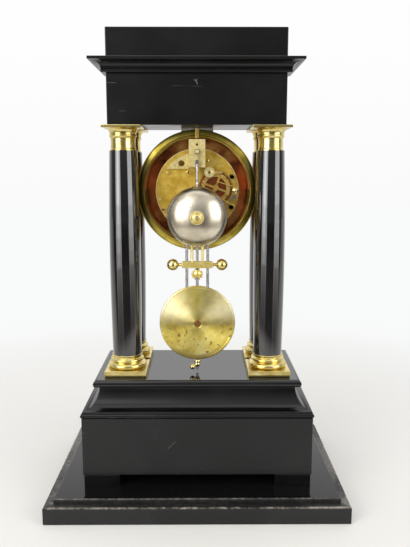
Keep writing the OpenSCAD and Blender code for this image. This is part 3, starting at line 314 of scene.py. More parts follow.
def plate_brass():
    """Rolled brass plate with fine circular turning marks, a painted highlight along its edge and brown tarnish behind
    the count wheel.
    """
    mat, t, shader, co = fresh("turned_brass_plate")
    r = ring_coords(t, co, (0, 0, MZ))[0]
    # turning marks 0.25 mm apart, drawn twice as coarse
    mark = put(t, "TexNoise", {"W": r, "Scale": 2000.0, "Detail": 2.0}, "Fac", noise_dimensions="1D")
    # tarnish patches 11 mm across
    patch = put(t, "TexNoise", {"Vector": co, "Scale": 90.0, "Detail": 6.0, "Roughness": 0.65}, "Fac")
    tone = put(t, "ValToRGB", {"Fac": patch}, stops=((0.25, "#ae8c30"), (0.5, "#d6b24a"), (0.75, "#ecd684")))
    shade = put(t, "MapRange", {"Value": ring_coords(t, co, COUNT)[0], "From Min": 20.5 * MM, "From Max": 17.5 * MM})
    col = put(t, "Mix", {"Factor": shade, FROM: tone, TO: lin("#84492a")}, MIXED, data_type="RGBA")
    # painted highlight: a near-white line along the plate's edge
    edge = put(t, "MapRange", {"Value": r, "From Min": (PLATE_R - 0.9) * MM, "From Max": (PLATE_R - 0.5) * MM,
                               "To Min": 0.0, "To Max": 0.5})
    col = put(t, "Mix", {"Factor": edge, FROM: col, TO: lin("#fff3c4")}, MIXED, data_type="RGBA")
    dull = put(t, "MapRange", {"Value": patch, "To Min": 0.60, "To Max": 0.44})
    bump = put(t, "Bump", {"Height": mark, "Strength": 0.12, "Distance": 0.2 * MM})
    feed(t, shader, {"Base Color": col, "Metallic": 1.0, "Roughness": dull, "Normal": bump})
    return mat


def tarnished_drum():
    """Sheet brass drum, never polished inside: red-brown oxide with darker clouds and streaks of clean brass, and
    painted light at both sides.
    """
    mat, t, shader, co = fresh("oxidised_sheet_brass")
    # oxide clouds 25 mm across, and streaks 2.5 mm wide round the drum
    cloud = put(t, "TexNoise", {"Vector": co, "Scale": 42.0, "Detail": 6.0, "Roughness": 0.62}, "Fac")
    long = put(t, "Mapping", {"Vector": co, "Scale": (30, 420, 30)})
    streak = put(t, "TexNoise", {"Vector": long, "Scale": 1.0, "Detail": 3.0}, "Fac")
    mixed = put(t, "Mix", {"Factor": 0.35, 2: cloud, 3: streak}, data_type="FLOAT")
    col = put(t, "ValToRGB", {"Fac": mixed},
              stops=((0.39, "#3e221a"), (0.47, "#a86034"), (0.55, "#dea458"), (0.66, "#f2d490")))
    # painted light: redder and brighter at both sides of the drum
    w = ring_coords(t, co, (0, 0, MZ))[1]
    glow = put(t, "MapRange", {"Value": sideways(t, w), "From Min": 0.75, "From Max": 1.0,
                               "To Min": 0.0, "To Max": 0.7})
    col = put(t, "Mix", {"Factor": glow, FROM: col, TO: lin("#f08440")}, MIXED, data_type="RGBA")
    # the ring that carries the dial was kept polished in front
    s = put(t, "SeparateXYZ", {0: co}, None)
    fore = put(t, "MapRange", {"Value": s["Y"], "From Min": FORE_Y * MM, "From Max": (FORE_Y - 0.5) * MM})
    col = put(t, "Mix", {"Factor": fore, FROM: col, TO: lin("#d2bc62")}, MIXED, data_type="RGBA")
    dull = put(t, "MapRange", {"Value": cloud, "To Min": 0.30, "To Max": 0.50})
    bump = put(t, "Bump", {"Height": streak, "Strength": 0.08, "Distance": 0.3 * MM})
    feed(t, shader, {"Base Color": col, "Metallic": 0.7, "Roughness": dull, "Normal": bump})
    return mat


def silvered_bell():
    """Bell metal, turned and silvered: pale champagne grey, half mirror, with dark freckles of tarnish."""
    mat, t, shader, co = fresh("silvered_bell_metal")
    # clouds in the silver 14 mm across
    cloud = put(t, "TexNoise", {"Vector": co, "Scale": 70.0, "Detail": 5.0, "Roughness": 0.55}, "Fac")
    tone = put(t, "ValToRGB", {"Fac": cloud}, stops=((0.28, "#b5aa94"), (0.5, "#cdc3ae"), (0.7, "#ddd5c2")))
    # freckles about 0.5 mm across
    fleck = put(t, "TexNoise", {"Vector": co, "Scale": 1100.0, "Detail": 2.0}, "Fac")
    dot = put(t, "ValToRGB", {"Fac": fleck}, stops=((0.68, 0.0), (0.74, 0.4)))
    col = put(t, "Mix", {"Factor": dot, FROM: tone, TO: lin("#5d564c")}, MIXED, data_type="RGBA")
    dull = put(t, "MapRange", {"Value": cloud, "To Min": 0.32, "To Max": 0.24})
    bump = put(t, "Bump", {"Height": fleck, "Strength": 0.02, "Distance": 0.1 * MM})
    # the coat is thin old lacquer
    feed(t, shader, {"Base Color": col, "Metallic": 1.0, "Roughness": dull, "Coat Weight": 0.6, "Coat Roughness": 0.06,
                     "Normal": bump})
    return mat


def spun_bob():
    """Spun brass disc with lathe rings: bright wedges where the rings face a lamp, a painted highlight on the upper
    half at both sides, painted shade round the screw, brown spots of tarnish.
    """
    mat, t, shader, co = fresh("spun_brass_bob")
    r, w = ring_coords(t, co, (0, 0, BOB_Z))
    s = put(t, "SeparateXYZ", {0: co}, None)
    # lathe rings 0.3 mm apart, drawn twice as coarse
    ringed = put(t, "TexNoise", {"W": r, "Scale": 1500.0, "Detail": 3.0}, "Fac", noise_dimensions="1D")
    # clouds in the lacquer 13 mm across
    cloud = put(t, "TexNoise", {"Vector": co, "Scale": 75.0, "Detail": 6.0, "Roughness": 0.62}, "Fac")
    tone = put(t, "ValToRGB", {"Fac": cloud}, stops=((0.30, "#bea238"), (0.5, "#e6d05e"), (0.70, "#f6e890")))
    # painted highlight: the upper half is paler at both sides, where the disc catches the lamps
    painted_upper_light = put(t, "MapRange", {"Value": s["Z"], "From Min": (BOB_Z - 4) * MM, "From Max": (BOB_Z + 12) * MM,
                               "To Min": 0.0, "To Max": 0.75})
    pale = put(t, "Math", {0: painted_upper_light, 1: sideways(t, w)}, operation="MULTIPLY")
    tone = put(t, "Mix", {"Factor": pale, FROM: tone, TO: lin("#f6eecc")}, MIXED, data_type="RGBA")
    # painted shade: darker round the screw
    painted_centre_shade = put(t, "MapRange", {"Value": r, "From Min": 16 * MM, "From Max": 7 * MM, "To Min": 0.0, "To Max": 0.5})
    tone = put(t, "Mix", {"Factor": painted_centre_shade, FROM: tone, TO: lin("#a08c38")}, MIXED, data_type="RGBA")
    # tarnish spots 1 to 3 mm across, most of them low down
    fleck = put(t, "TexNoise", {"Vector": co, "Scale": 230.0, "Detail": 1.0, "Roughness": 0.4}, "Fac")
    dot = put(t, "ValToRGB", {"Fac": fleck}, stops=((0.64, 0.0), (0.74, 0.85)))
    low = put(t, "MapRange", {"Value": s["Z"], "From Min": (BOB_Z + 2) * MM, "From Max": (BOB_Z - 12) * MM,
                              "To Min": 0.12, "To Max": 1.0})
    spots = put(t, "Math", {0: dot, 1: low}, operation="MULTIPLY")
    # a brown crescent near the lower rim
    rim = put(t, "MapRange", {"Value": r, "From Min": (BOB_R - 7) * MM, "From Max": (BOB_R - 3.5) * MM})
    deep = put(t, "MapRange", {"Value": s["Z"], "From Min": (BOB_Z - 18) * MM, "From Max": (BOB_Z - 32) * MM})
    brown = put(t, "Math", {0: rim, 1: deep}, operation="MULTIPLY")
    torn = put(t, "Math", {0: brown, 1: cloud}, operation="MULTIPLY")
    film = put(t, "Math", {0: spots, 1: torn}, operation="MAXIMUM")
    col = put(t, "Mix", {"Factor": film, FROM: tone, TO: lin("#6e4e04")}, MIXED, data_type="RGBA")
    dull = put(t, "MapRange", {"Value": cloud, "To Min": 0.40, "To Max": 0.33})
    way = put(t, "Tangent", {}, direction_type="RADIAL", axis="Y")
    bump = put(t, "Bump", {"Height": ringed, "Strength": 0.05, "Distance": 0.2 * MM})
    # the coat is old lacquer
    feed(t, shader, {"Base Color": col, "Metallic": 1.0, "Roughness": dull, "Anisotropic": 0.9,
                     "Anisotropic Rotation": 0.25, "Tangent": way, "Coat Weight": 1.0, "Coat Roughness": 0.24,
                     "Normal": bump})
    return mat


# Dial and glass

def enamel():
    """Vitreous enamel on copper: warm white, glassy, very slightly uneven."""
    mat, t, shader, co = fresh("white_vitreous_enamel")
    # waves in the enamel 17 mm apart
    cloud = put(t, "TexNoise", {"Vector": co, "Scale": 60.0, "Detail": 3.0}, "Fac")
    tone = put(t, "ValToRGB", {"Fac": cloud}, stops=((0.3, "#e4e0d4"), (0.7, "#efece3")))
    bump = put(t, "Bump", {"Height": cloud, "Strength": 0.05, "Distance": 0.5 * MM})
    feed(t, shader, {"Base Color": tone, "Roughness": 0.08, "IOR": 1.52, "Normal": bump})
    return mat


def dial_black():
    """Fired black ceramic paint of numerals and minute track: near black, half gloss, speckled 1 mm apart."""
    mat, t, shader, co = fresh("fired_black_paint")
    cloud = put(t, "TexNoise", {"Vector": co, "Scale": 900.0, "Detail": 2.0}, "Fac")
    tone = put(t, "ValToRGB", {"Fac": cloud}, stops=((0.3, "#0c0c0e"), (0.7, "#17171a")))
    feed(t, shader, {"Base Color": tone, "Roughness": 0.25})
    return mat


def window_glass():
    """Flat drawn glass, thin and clear, with waves 50 mm apart; most light goes straight through."""
    mat, t, shader, co = fresh("flat_drawn_glass")
    wave = put(t, "TexNoise", {"Vector": co, "Scale": 20.0, "Detail": 1.0}, "Fac")
    bump = put(t, "Bump", {"Height": wave, "Strength": 0.02, "Distance": 0.5 * MM})
    feed(t, shader, {"Base Color": lin("#f4faf8"), "Roughness": 0.02, "IOR": 1.5, "Transmission Weight": 1.0,
                     "Alpha": 0.3, "Normal": bump})
    return mat


# The clock's finishes

SATIN = ebonised_satin()
GLOSS = ebonised_gloss("ebonised_pearwood_polished", 1.0)
TOP = ebonised_gloss("ebonised_pearwood_rubbed", 0.0)
BOARD = worn_board()
BARE = bare_wood()
RIM = rim_brass()
PLATE = plate_brass()
DRUM = tarnished_drum()
SILVER = silvered_bell()
BOB = spun_bob()
ENAMEL = enamel()
PAINT = dial_black()
GLASS = window_glass()
# Turned brass, polished and gilt: warm yellow mirror with fine dull specks and browner patches
GILT = metal("gilt_turned_brass", "#c0a85a", "#d9c67e", "#ebdfac", 0.20, 0.06, 12.0, 0.02)
# Cut and grained brass of wheels and pillars: yellow, softly brushed
TRAIN = metal("grained_brass", "#c0a24a", "#e6c96e", "#f4e2a2", 0.42, 0.08, 5.0, 0.06)
# Cast and filed brass of yokes and wires: pale yellow, dull polish
YOKE = metal("filed_cast_brass", "#bca24a", "#e4ce78", "#f4e8ac", 0.40, 0.10, 4.0, 0.06)
# Pale brass of cocks, rods and bell nut, dull from handling: straw yellow, soft sheen
PALE = metal("pale_turned_brass", "#c8b163", "#e6d490", "#f4e9bf", 0.44, 0.08, 3.0, 0.05)
# Cut brass gone to orange brown, and darker still as painted shade where the wheel lies in shadow: dull sheen
BROWN_AND_SHADED = metal("brown_and_shaded_wheel_brass", "#b0863e", "#d8b05c", "#ecd292", 0.42, 0.08, 6.0, 0.05)
# Brass boss, pale lemon, made paler as painted sheen for its polished face: fine even grain
BOSS_BRASS_AND_SHEEN = metal("boss_brass_and_painted_sheen", "#e2d588", "#f4eaae", "#fcf6d4", 0.50, 0.06, 2.0, 0.04)
# Old screw head with a red-brown film over brass: dark, uneven gloss
COPPERY = metal("filmed_screw_brass", "#5c3c22", "#94683e", "#c49a66", 0.25, 0.15, 1.6, 0.10)
# Painted shade of a hole in the plate: a flat disc, dark and glossy
HOLE_SHADE = metal("painted_hole_shade", "#0b0806", "#17100a", "#3a2a16", 0.16, 0.10, 1.2, 0.05)
# Drawn and polished steel, a little rusted: grey mirror with brown-grey mottling
STEEL = metal("drawn_steel", "#6b655f", "#a3a09c", "#c9c8c6", 0.22, 0.22, 3.0, 0.10)
# Steel coloured by heat: deep blue, polished
BLUED = metal("blued_steel", "#0f1430", "#1b2450", "#2c3870", 0.20, 0.08, 6.0, 0.03)


# Mesh helpers, all in millimetres

def finish_piece(name, bm, mat, slot, *nodes, body="frame", angle=32.0):
    """Closes a mesh, scales it to metres and hands it to its body; edges sharper than angle stay crisp."""
    bmesh.ops.remove_doubles(bm, verts=bm.verts, dist=0.003)
    bmesh.ops.recalc_face_normals(bm, faces=bm.faces)
    bmesh.ops.scale(bm, vec=(MM,) * 3, verts=bm.verts)
    me = bpy.data.meshes.new(name)
    bm.to_mesh(me)
    bm.free()
    me.shade_smooth()
    me.set_sharp_from_angle(angle=radians(angle))
    me.materials.append(mat)
    ob = bpy.data.objects.new(name, me)
    scene.collection.objects.link(ob)
    # broad faces keep their own direction, only the small rounding bends
    ob.modifiers.new("broad_faces", "WEIGHTED_NORMAL").keep_sharp = True
    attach(ob, body)
    if nodes:
        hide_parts(*nodes)


def block(bm, lo, hi, size, segments=2):
    """A box between two corners with its edges rounded over."""
    lo, hi = Vector(lo), Vector(hi)
    place = Matrix.Translation((lo + hi) / 2) @ Matrix.Diagonal((*(hi - lo), 1.0))
    new = bmesh.ops.create_cube(bm, size=1.0, matrix=place)
    edges = list({e for v in new["verts"] for e in v.link_edges})
    bmesh.ops.bevel(bm, geom=edges, offset=size, segments=segments, profile=0.5, affect="EDGES", material=-1,
                    offset_type="OFFSET", clamp_overlap=True)


def tier(bm, w, d, z, prof):
    """A moulded storey: the profile, as projection and height, runs round a rectangle w by d."""
    p, h = prof[0]
    place = Matrix.Translation((0, 0, z + h)) @ Matrix.Diagonal((w + 2 * p, d + 2 * p, 1, 1))
    new = bmesh.ops.create_grid(bm, x_segments=1, y_segments=1, size=0.5, matrix=place)
    face = new["verts"][0].link_faces[0]
    for (p0, h0), (p1, h1) in zip(prof, prof[1:]):
        ext = bmesh.ops.extrude_face_region(bm, geom=[face])
        old = face
        face = next(g for g in ext["geom"] if isinstance(g, bmesh.types.BMFace))
        verts = list(face.verts)
        bmesh.ops.scale(bm, verts=verts, vec=((w + 2 * p1) / (w + 2 * p0), (d + 2 * p1) / (d + 2 * p0), 1))
        bmesh.ops.translate(bm, verts=verts, vec=(0, 0, h1 - h0))
        # the faces left inside go, the lowest one stays as the underside
        if old.is_valid and (p0, h0) != prof[0]:
            bmesh.ops.delete(bm, geom=[old], context="FACES_ONLY")


def arc(x, y, rx, a0, a1, n, ry=None):
    """Points of an arc for a profile, from angle a0 to a1 in n steps."""
    turns = [radians(a0 + (a1 - a0) * i / n) for i in range(n + 1)]
    return [(x + rx * cos(a), y + (ry or rx) * sin(a)) for a in turns]


def turned(bm, prof, place, steps=96):
    """A piece turned on a lathe: radius and height along the axis, then put in its place."""
    verts = [bm.verts.new((max(r, 0.0), 0.0, h)) for r, h in prof]
    edges = [bm.edges.new(p) for p in zip(verts, verts[1:])]
    bmesh.ops.spin(bm, geom=verts + edges, cent=(0, 0, 0), axis=(0, 0, 1), dvec=(0, 0, 0), angle=2 * pi,
                   steps=steps, use_merge=True, use_normal_flip=False, use_duplicate=False)
    # everything joined to the profile moves with it
    seen, todo = set(verts), list(verts)
    while todo:
        for e in todo.pop().link_edges:
            for v in e.verts:
                if v not in seen:
                    seen.add(v)
                    todo.append(v)
    bmesh.ops.transform(bm, matrix=place, verts=list(seen))


def up(x, y, z):
    """A place whose lathe axis points up."""
    return Matrix.Translation((x, y, z))


def back(x, y, z):
    """A place whose lathe axis points to the open back."""
    return up(x, y, z) @ Matrix.Rotation(radians(-90), 4, "X")


def front(x, y, z):
    """A place whose lathe axis points to the dial side."""
    return up(x, y, z) @ Matrix.Rotation(radians(90), 4, "X")


def ball(bm, r, x, y, z, n=8, steps=16):
    """A ball at a place."""
    turned(bm, arc(0, 0, r, -90, 90, n), up(x, y, z), steps)


def rod(bm, a, b, r, steps=12):
    """A round wire between two points with closed ends."""
    a, b = Vector(a), Vector(b)
    place = Matrix.Translation(a) @ (b - a).to_track_quat("Z", "Y").to_matrix().to_4x4()
    n = (b - a).length
    turned(bm, [(0, 0), (r * 0.8, 0), (r, r * 0.2), (r, n - r * 0.2), (r * 0.8, n), (0, n)], place, steps)


# Wooden case

def case():
    """Board, feet, plinth with its mouldings, frieze, cornice and attic."""
    lo, hi = corners("base_board")
    ledge = 19.0
    bm = bmesh.new()
    tier(bm, hi.x - lo.x, hi.y - lo.y, 0.0,
         [(-1.0, 0.0), (-0.3, 0.3), (0.0, 1.0), (0.0, ledge - 1.6), (-0.4, ledge - 0.5), (-1.5, ledge), (-9.5, ledge),
          (-9.5, hi.z - 1.8)] + arc(-11.0, hi.z - 1.5, 1.5, 0, 90, 4))
    finish_piece("board", bm, BOARD, "ebonised_wood", "base_board")

    lo, hi = corners("plinth_feet")
    half_w, half_d = 19.5, 17.0
    bm = bmesh.new()
    for sx in (-1, 1):
        for sy in (-1, 1):
            x, y = sx * (hi.x - half_w), sy * (hi.y - half_d)
            block(bm, (x - half_w, y - half_d, lo.z), (x + half_w, y + half_d, hi.z), 0.6)
    finish_piece("feet", bm, TOP, "ebonised_wood", "plinth_feet")

    bm = bmesh.new()
    block(bm, *corners("plinth_box"), 0.8, 3)
    finish_piece("plinth", bm, SATIN, "ebonised_wood", "plinth_box")

    # a fillet with a rounded nose under a tall hollow
    lo, hi = corners("plinth_moulding")
    bm = bmesh.new()
    tier(bm, hi.x - lo.x - 2, hi.y - lo.y - 2, lo.z,
         [(-0.6, 0.0)] + arc(-1.4, 2.4, 2.4, -80, 80, 8) + [(-1.1, 5.0)] + arc(-1.1, 29.5, 16.5, -90, -180, 14, 22.5))
    finish_piece("hollow_moulding", bm, SATIN, "ebonised_wood", "plinth_moulding")

    lo, hi = corners("plinth_top")
    thick = hi.z - lo.z
    bm = bmesh.new()
    tier(bm, hi.x - lo.x, hi.y - lo.y, lo.z,
         [(-4.0, 0.0)] + arc(-3.2, thick / 2 - 0.2, 3.2, -80, 68, 9, thick / 2 - 0.4) +
         [(-2.6, thick - 0.25), (-3.4, thick)])
    finish_piece("slab", bm, TOP, "ebonised_wood", "plinth_top")

    bm = bmesh.new()
    block(bm, *corners("frieze_box"), 0.6)
    finish_piece("frieze", bm, SATIN, "ebonised_wood", "frieze_box")

    # the cornice stands out over a bead and a hollow sweep
    lo, hi = corners("cornice")
    reach, tall = 16.2, hi.z - lo.z
    bm = bmesh.new()
    tier(bm, hi.x - lo.x - 2 * reach, hi.y - lo.y - 2 * reach, lo.z,
         [(-2.0, 0.0), (3.9, 0.0), (4.6, 0.7), (4.6, 3.0), (4.0, 3.6)] +
         arc(reach - 0.8, 3.9, reach - 5.4, 180, 90, 12, tall - 6.9) +
         [(reach - 0.2, tall - 2.9), (reach, tall - 2.6), (reach, tall - 0.5), (reach - 0.5, tall)])
    finish_piece("cornice_moulding", bm, SATIN, "ebonised_wood", "cornice")

    bm = bmesh.new()
    block(bm, *corners("attic_block"), 0.9, 3)
    finish_piece("attic", bm, SATIN, "ebonised_wood", "attic_block")


def colonnade():
    """Four columns with a slight swelling, on gilt bases and under gilt capitals."""
    lo, hi = corners("columns")
    base_lo, base_hi = corners("column_bases")
    cap_lo, cap_hi = corners("capitals")
    # half the square base, its thickness, half the square top of the capital, its thickness
    half, sole, brow, cover = 23.0, 7.0, 21.0, 2.6
    tall, n = hi.z - lo.z, 28
    shaft = [(15.8 - 0.9 * i / n + 1.6 * sin(pi * i / n), tall * i / n) for i in range(n + 1)]
    base = [(0, 6.0), (19.6, 6.0), (20.0, 7.05)] + arc(17.6, 10.2, 3.4, -75, 72, 10, 3.2) + \
        [(18.2, 13.5), (17.7, 13.9)] + arc(15.9, 16.2, 2.5, -60, 72, 8, 2.1) + \
        [(16.2, 18.5), (15.9, 19.0), (16.0, 20.0), (16.6, 21.2), (16.7, 21.7), (16.4, 22.0), (0, 22.0)]
    neck = cap_hi.z - cap_lo.z - cover
    cap = [(0, 0), (13.5, 0), (13.8, 0.3), (13.8, 1.5), (13.5, 1.9), (13.15, 2.2), (13.1, 3.2), (13.1, neck - 11.4),
           (13.3, neck - 10.2), (13.8, neck - 9.2)] + arc(13.6, neck - 8.0, 1.0, -50, 75, 6) + \
        [(13.8, neck - 6.8)] + arc(18.6, neck - 6.6, 4.6, 180, 90, 10, 6.4) + [(18.8, neck), (0, neck)]
    shafts, bases, caps = bmesh.new(), bmesh.new(), bmesh.new()
    for x in (half - base_hi.x, base_hi.x - half):
        for y in (half - base_hi.y, base_hi.y - half):
            turned(shafts, [(0, 0)] + shaft + [(0, tall)], up(x, y, lo.z))
            turned(bases, base, up(x, y, base_lo.z))
            block(bases, (x - half, y - half, base_lo.z), (x + half, y + half, base_lo.z + sole), 0.7, 3)
            turned(caps, cap, up(x, y, cap_lo.z))
            block(caps, (x - brow, y - brow, cap_hi.z - cover), (x + brow, y + brow, cap_hi.z), 0.7)
    finish_piece("shafts", shafts, GLOSS, "ebonised_wood", "columns")
    finish_piece("column_feet", bases, GILT, "gilt_brass", "column_bases")
    finish_piece("column_heads", caps, GILT, "gilt_brass", "capitals")


case()
colonnade()


# Drum, bell and pendulum

def drum():
    """Moulded rear rim and the drum's wall."""
    # inside of the rim, inside and outside of the wall and its length
    bore, inner, outer, deep = 58.0, 57.5, 59.3, 31.6
    bm = bmesh.new()
    turned(bm, [(bore, 0.8), (bore + 0.5, 0.2), (bore + 1.2, 0.0), (bore + 1.8, 0.3), (bore + 2.2, 0.8), (61.6, 1.0),
                (63.2, 1.3), (64.6, 1.7), (65.6, 2.2), (66.2, 3.0), (66.2, 3.8), (65.4, 4.6), (61.9, 6.0), (61.9, 11.0),
                (59.35, 11.0), (59.35, 6.0), (bore, 6.0), (bore, 0.8)], front(0, 9.0, MZ), 160)
    finish_piece("drum_rim", bm, RIM, "movement_brass", "rear_rim")
    bm = bmesh.new()
    turned(bm, [(inner, 0), (outer, 0), (outer, deep), (inner, deep), (inner, 0)], front(0, 3.0, MZ), 128)
    finish_piece("drum_wall", bm, DRUM, "tarnished_brass", "drum_case")


def bell():
    """A shallow bell with a wall of 1.6 mm on its screw, under a stepped nut."""
    tall, wall, hole, n = 19.0, 1.6, 2.25, 26
    nut_lo, nut_hi = corners("bell_nut")
    bm = bmesh.new()
    turned(bm, arc(0, 0, BELL_R, 0, 87, n, tall) + [(hole, tall), (hole, tall - wall)] +
           arc(0, 0, BELL_R - wall, 86, 0, n, tall - wall) + [(BELL_R, 0.0)], back(*BELL), 128)
    finish_piece("bell_dome", bm, SILVER, "bell_metal", "bell")
    bm = bmesh.new()
    turned(bm, [(hole, 0), (7.1, 0), (7.5, 0.4), (7.5, 1.4), (7.0, 1.9), (6.3, 2.0), (6.0, 1.7), (5.6, 2.1), (5.1, 2.5),
                (4.7, 3.2), (4.2, 3.4), (3.9, 3.2), (3.5, 3.7), (2.9, 4.0), (hole, 4.0), (hole, 0)],
           back(0, nut_lo.y, BELL.z), 64)
    finish_piece("bell_cap_nut", bm, PALE, "gilt_brass", "bell_nut")
    # slotted end of the bell screw: two cheeks beside the slot
    bm = bmesh.new()
    for x in (-1.15, 1.15):
        block(bm, (x - 0.75, nut_hi.y - 0.4, BELL.z - 1.5), (x + 0.75, nut_hi.y + 0.5, BELL.z + 1.5), 0.15, 1)
    finish_piece("bell_screw_slot", bm, PALE, "gilt_brass")


def pendulum():
    """Bob with its screw, yokes with balls and fleuron, and the rating nut."""
    r = BOB_R
    bm = bmesh.new()
    turned(bm, [(0, -6.5), (r - 9.0, -6.5), (r - 2.5, -4.1), (r - 0.4, -1.0), (r, 0.0), (r - 0.2, 1.4), (r - 0.7, 2.1),
                (r - 1.4, 2.4), (r - 2.2, 2.45), (r - 2.7, 2.3), (r - 3.0, 2.2), (26.0, 3.6), (10.0, 5.0), (5.0, 5.35),
                (4.6, 5.1), (0, 5.1)], back(0, PEND_Y, BOB_Z), 160)
    finish_piece("bob_disc", bm, BOB, "gilt_brass", "pendulum_bob", body="pendulum", angle=24.0)
    bm = bmesh.new()
    turned(bm, [(0, 4.9), (3.5, 4.9), (3.7, 5.5), (3.3, 6.0), (2.5, 6.2), (2.1, 5.8), (1.7, 6.2), (0, 6.5)],
           back(0, PEND_Y, BOB_Z), 48)
    finish_piece("bob_screw", bm, COPPERY, "steel", body="pendulum")

    # two yokes: half their width, thickness and height, and the step from one to the other
    wide, thick, tall, step = 16.9, 2.5, 3.7, 53.0
    top = corners("gridiron_bars")[1].z - tall
    low = top - step
    bm = bmesh.new()
    for z in (low, top):
        block(bm, (-wide, PEND_Y - thick, z - tall), (wide, PEND_Y + thick, z + tall), 0.7)
    finish_piece("gridiron_yokes", bm, YOKE, "gilt_brass", "gridiron_bars", body="pendulum")
    bm = bmesh.new()
    stem = [(0, -0.5), (2.0, -0.5), (2.0, 1.2), (1.7, 1.7), (1.6, 2.6), (1.7, 3.6)]
    for s in (-1, 1):
        outwards = up(s * wide, PEND_Y, low) @ Matrix.Rotation(radians(s * 90), 4, "Y")
        turned(bm, stem + arc(0, 9.9, 6.4, -72, 90, 18), outwards, 48)
    finish_piece("yoke_balls", bm, GILT, "gilt_brass", body="pendulum")

    # cast fleuron under the lower yoke: two stems, a scalloped shield of beads and three tips
    y, z = PEND_Y + 2.2, low - 10.0
    bm = bmesh.new()
    for s in (-1, 1):
        rod(bm, (s * 1.8, y, low - 3.4), (s * 1.8, y, z + 2.5), 0.75)
        rod(bm, (s * 2.3, y, z - 3.0), (s * 2.5, y, z - 6.6), 0.6)
        for dx, dz, q in ((4.6, 2.2, 1.35), (5.0, -0.4, 1.35), (4.4, -3.0, 1.3), (2.3, 3.2, 1.2), (2.2, -4.0, 1.1)):
            ball(bm, q, s * dx, y, z + dz)
    turned(bm, [(0, 1.6), (1.4, 1.5), (3.0, 0.9), (4.4, 0.0), (4.6, -0.8), (4.2, -1.2), (0, -1.2)],
           back(0, y, z - 0.3), 40)
    for dz, q in ((1.9, 1.1), (-2.3, 1.1), (-0.2, 1.3)):
        ball(bm, q, 0, y + 1.3, z + dz)
    finish_piece("fleuron", bm, GILT, "gilt_brass", body="pendulum")

    # rating nut with a small ball on an arm
    tall, hole, way = 8.4, 1.45, Vector((cos(radians(36.5)), sin(radians(36.5)), 0))
    foot = Vector((0, PEND_Y, corners("rating_nut")[1].z - tall))
    bm = bmesh.new()
    turned(bm, [(hole, 0), (1.9, 0), (2.2, 0.8), (2.4, 1.4), (3.0, 2.0), (3.3, 2.7), (3.3, 3.6), (3.0, 4.2), (2.9, 4.6),
                (3.4, 5.2), (3.55, 5.9), (3.55, 6.8), (3.3, 7.6), (2.8, 8.2), (hole, tall), (hole, 0)], up(*foot), 48)
    rod(bm, foot + way * 2 + Vector((0, 0, 2.6)), foot + way * 5.5 + Vector((0, 0, 1.3)), 0.9)
    ball(bm, 3.0, *(foot + way * 6.7 + Vector((0, 0, 0.9))), 14, 32)
    finish_piece("rating_nut_turned", bm, GILT, "gilt_brass", "rating_nut", body="rating")


drum()
bell()
pendulum()


# Small fittings of the movement

def fittings():
    """Studs, flat discs of painted shade for holes, and spring wires on the back plate, the detent's boss and the strap
    that hangs the rim.
    """
    y = corners("back_plate")[1].y
    bm = bmesh.new()
    for x, z, r, h in ((9.8, 20.0, 1.5, 3.0), (-11.0, 32.4, 1.6, 3.4), (-42.7, 0.0, 2.7, 4.2), (38.0, -21.0, 1.4, 2.6)):
        turned(bm, [(0, h), (r * 0.5, h - 0.1), (r * 0.85, h - 0.6), (r, h - 1.3), (r, 0.9), (r * 1.25, 0.7),
                    (r * 1.25, -0.1), (0, -0.1)], back(x, y, MZ + z), 24)
    finish_piece("plate_studs", bm, GILT, "gilt_brass")
    bm = bmesh.new()
    # painted shade: flat dark discs standing for holes in the plate
    for x, z, r in ((-38.8, 14.9, 2.3), (-38.2, -18.4, 2.5)):
        turned(bm, [(0, 0.03), (r * 0.7, 0.03), (r * 0.8, 0.2), (r, 0.25), (r, -0.1), (0, -0.1)],
               back(x, y, MZ + z), 28)
    finish_piece("painted_hole_shade_discs", bm, HOLE_SHADE, "steel")
    # each wire runs along the plate and bends down into it
    bm = bmesh.new()
    for x0, z0, x1, z1, off, r in ((-21.5, 10.2, -38.4, 5.0, 5.4, 0.45), (-27.6, -9.6, -41.0, -16.6, 5.2, 0.5)):
        bend = (x1, y + off, MZ + z1)
        rod(bm, (x0, y + off, MZ + z0), bend, r, 8)
        rod(bm, bend, (x1, y + 0.2, MZ + z1), r, 8)
    finish_piece("spring_wires", bm, YOKE, "movement_brass")
    # ringed boss on the detent's pivot
    hole, rim, sole = 1.75, 5.8, -0.2
    bm = bmesh.new()
    turned(bm, [(hole, sole), (hole, 0.5), (2.0, 0.7), (2.4, 0.4), (2.9, 0.3), (3.3, 0.6), (3.9, 0.6), (4.3, 0.3),
                (5.0, 0.35), (5.6, 0.3), (rim, 0.0), (rim, sole), (hole, sole)],
           back(-13.4, corners("count_detent")[1].y, MZ + 20.2), 48)
    # painted sheen: the boss's pale colour stands for the light on its polished face
    finish_piece("detent_boss", bm, BOSS_BRASS_AND_SHEEN, "movement_brass", body="detent")
    top = corners("rear_rim")[1]
    bm = bmesh.new()
    block(bm, (-1.8, top.y - 0.6, top.z - 9.4), (1.8, top.y + 0.9, top.z + 1.4), 0.4)
    turned(bm, [(0, 0.9), (1.0, 0.8), (1.5, 0.3), (1.5, -0.2), (0, -0.2)], back(0, top.y + 0.9, top.z - 6.6), 20)
    finish_piece("rim_strap", bm, TRAIN, "movement_brass")


fittings()


# Dial side

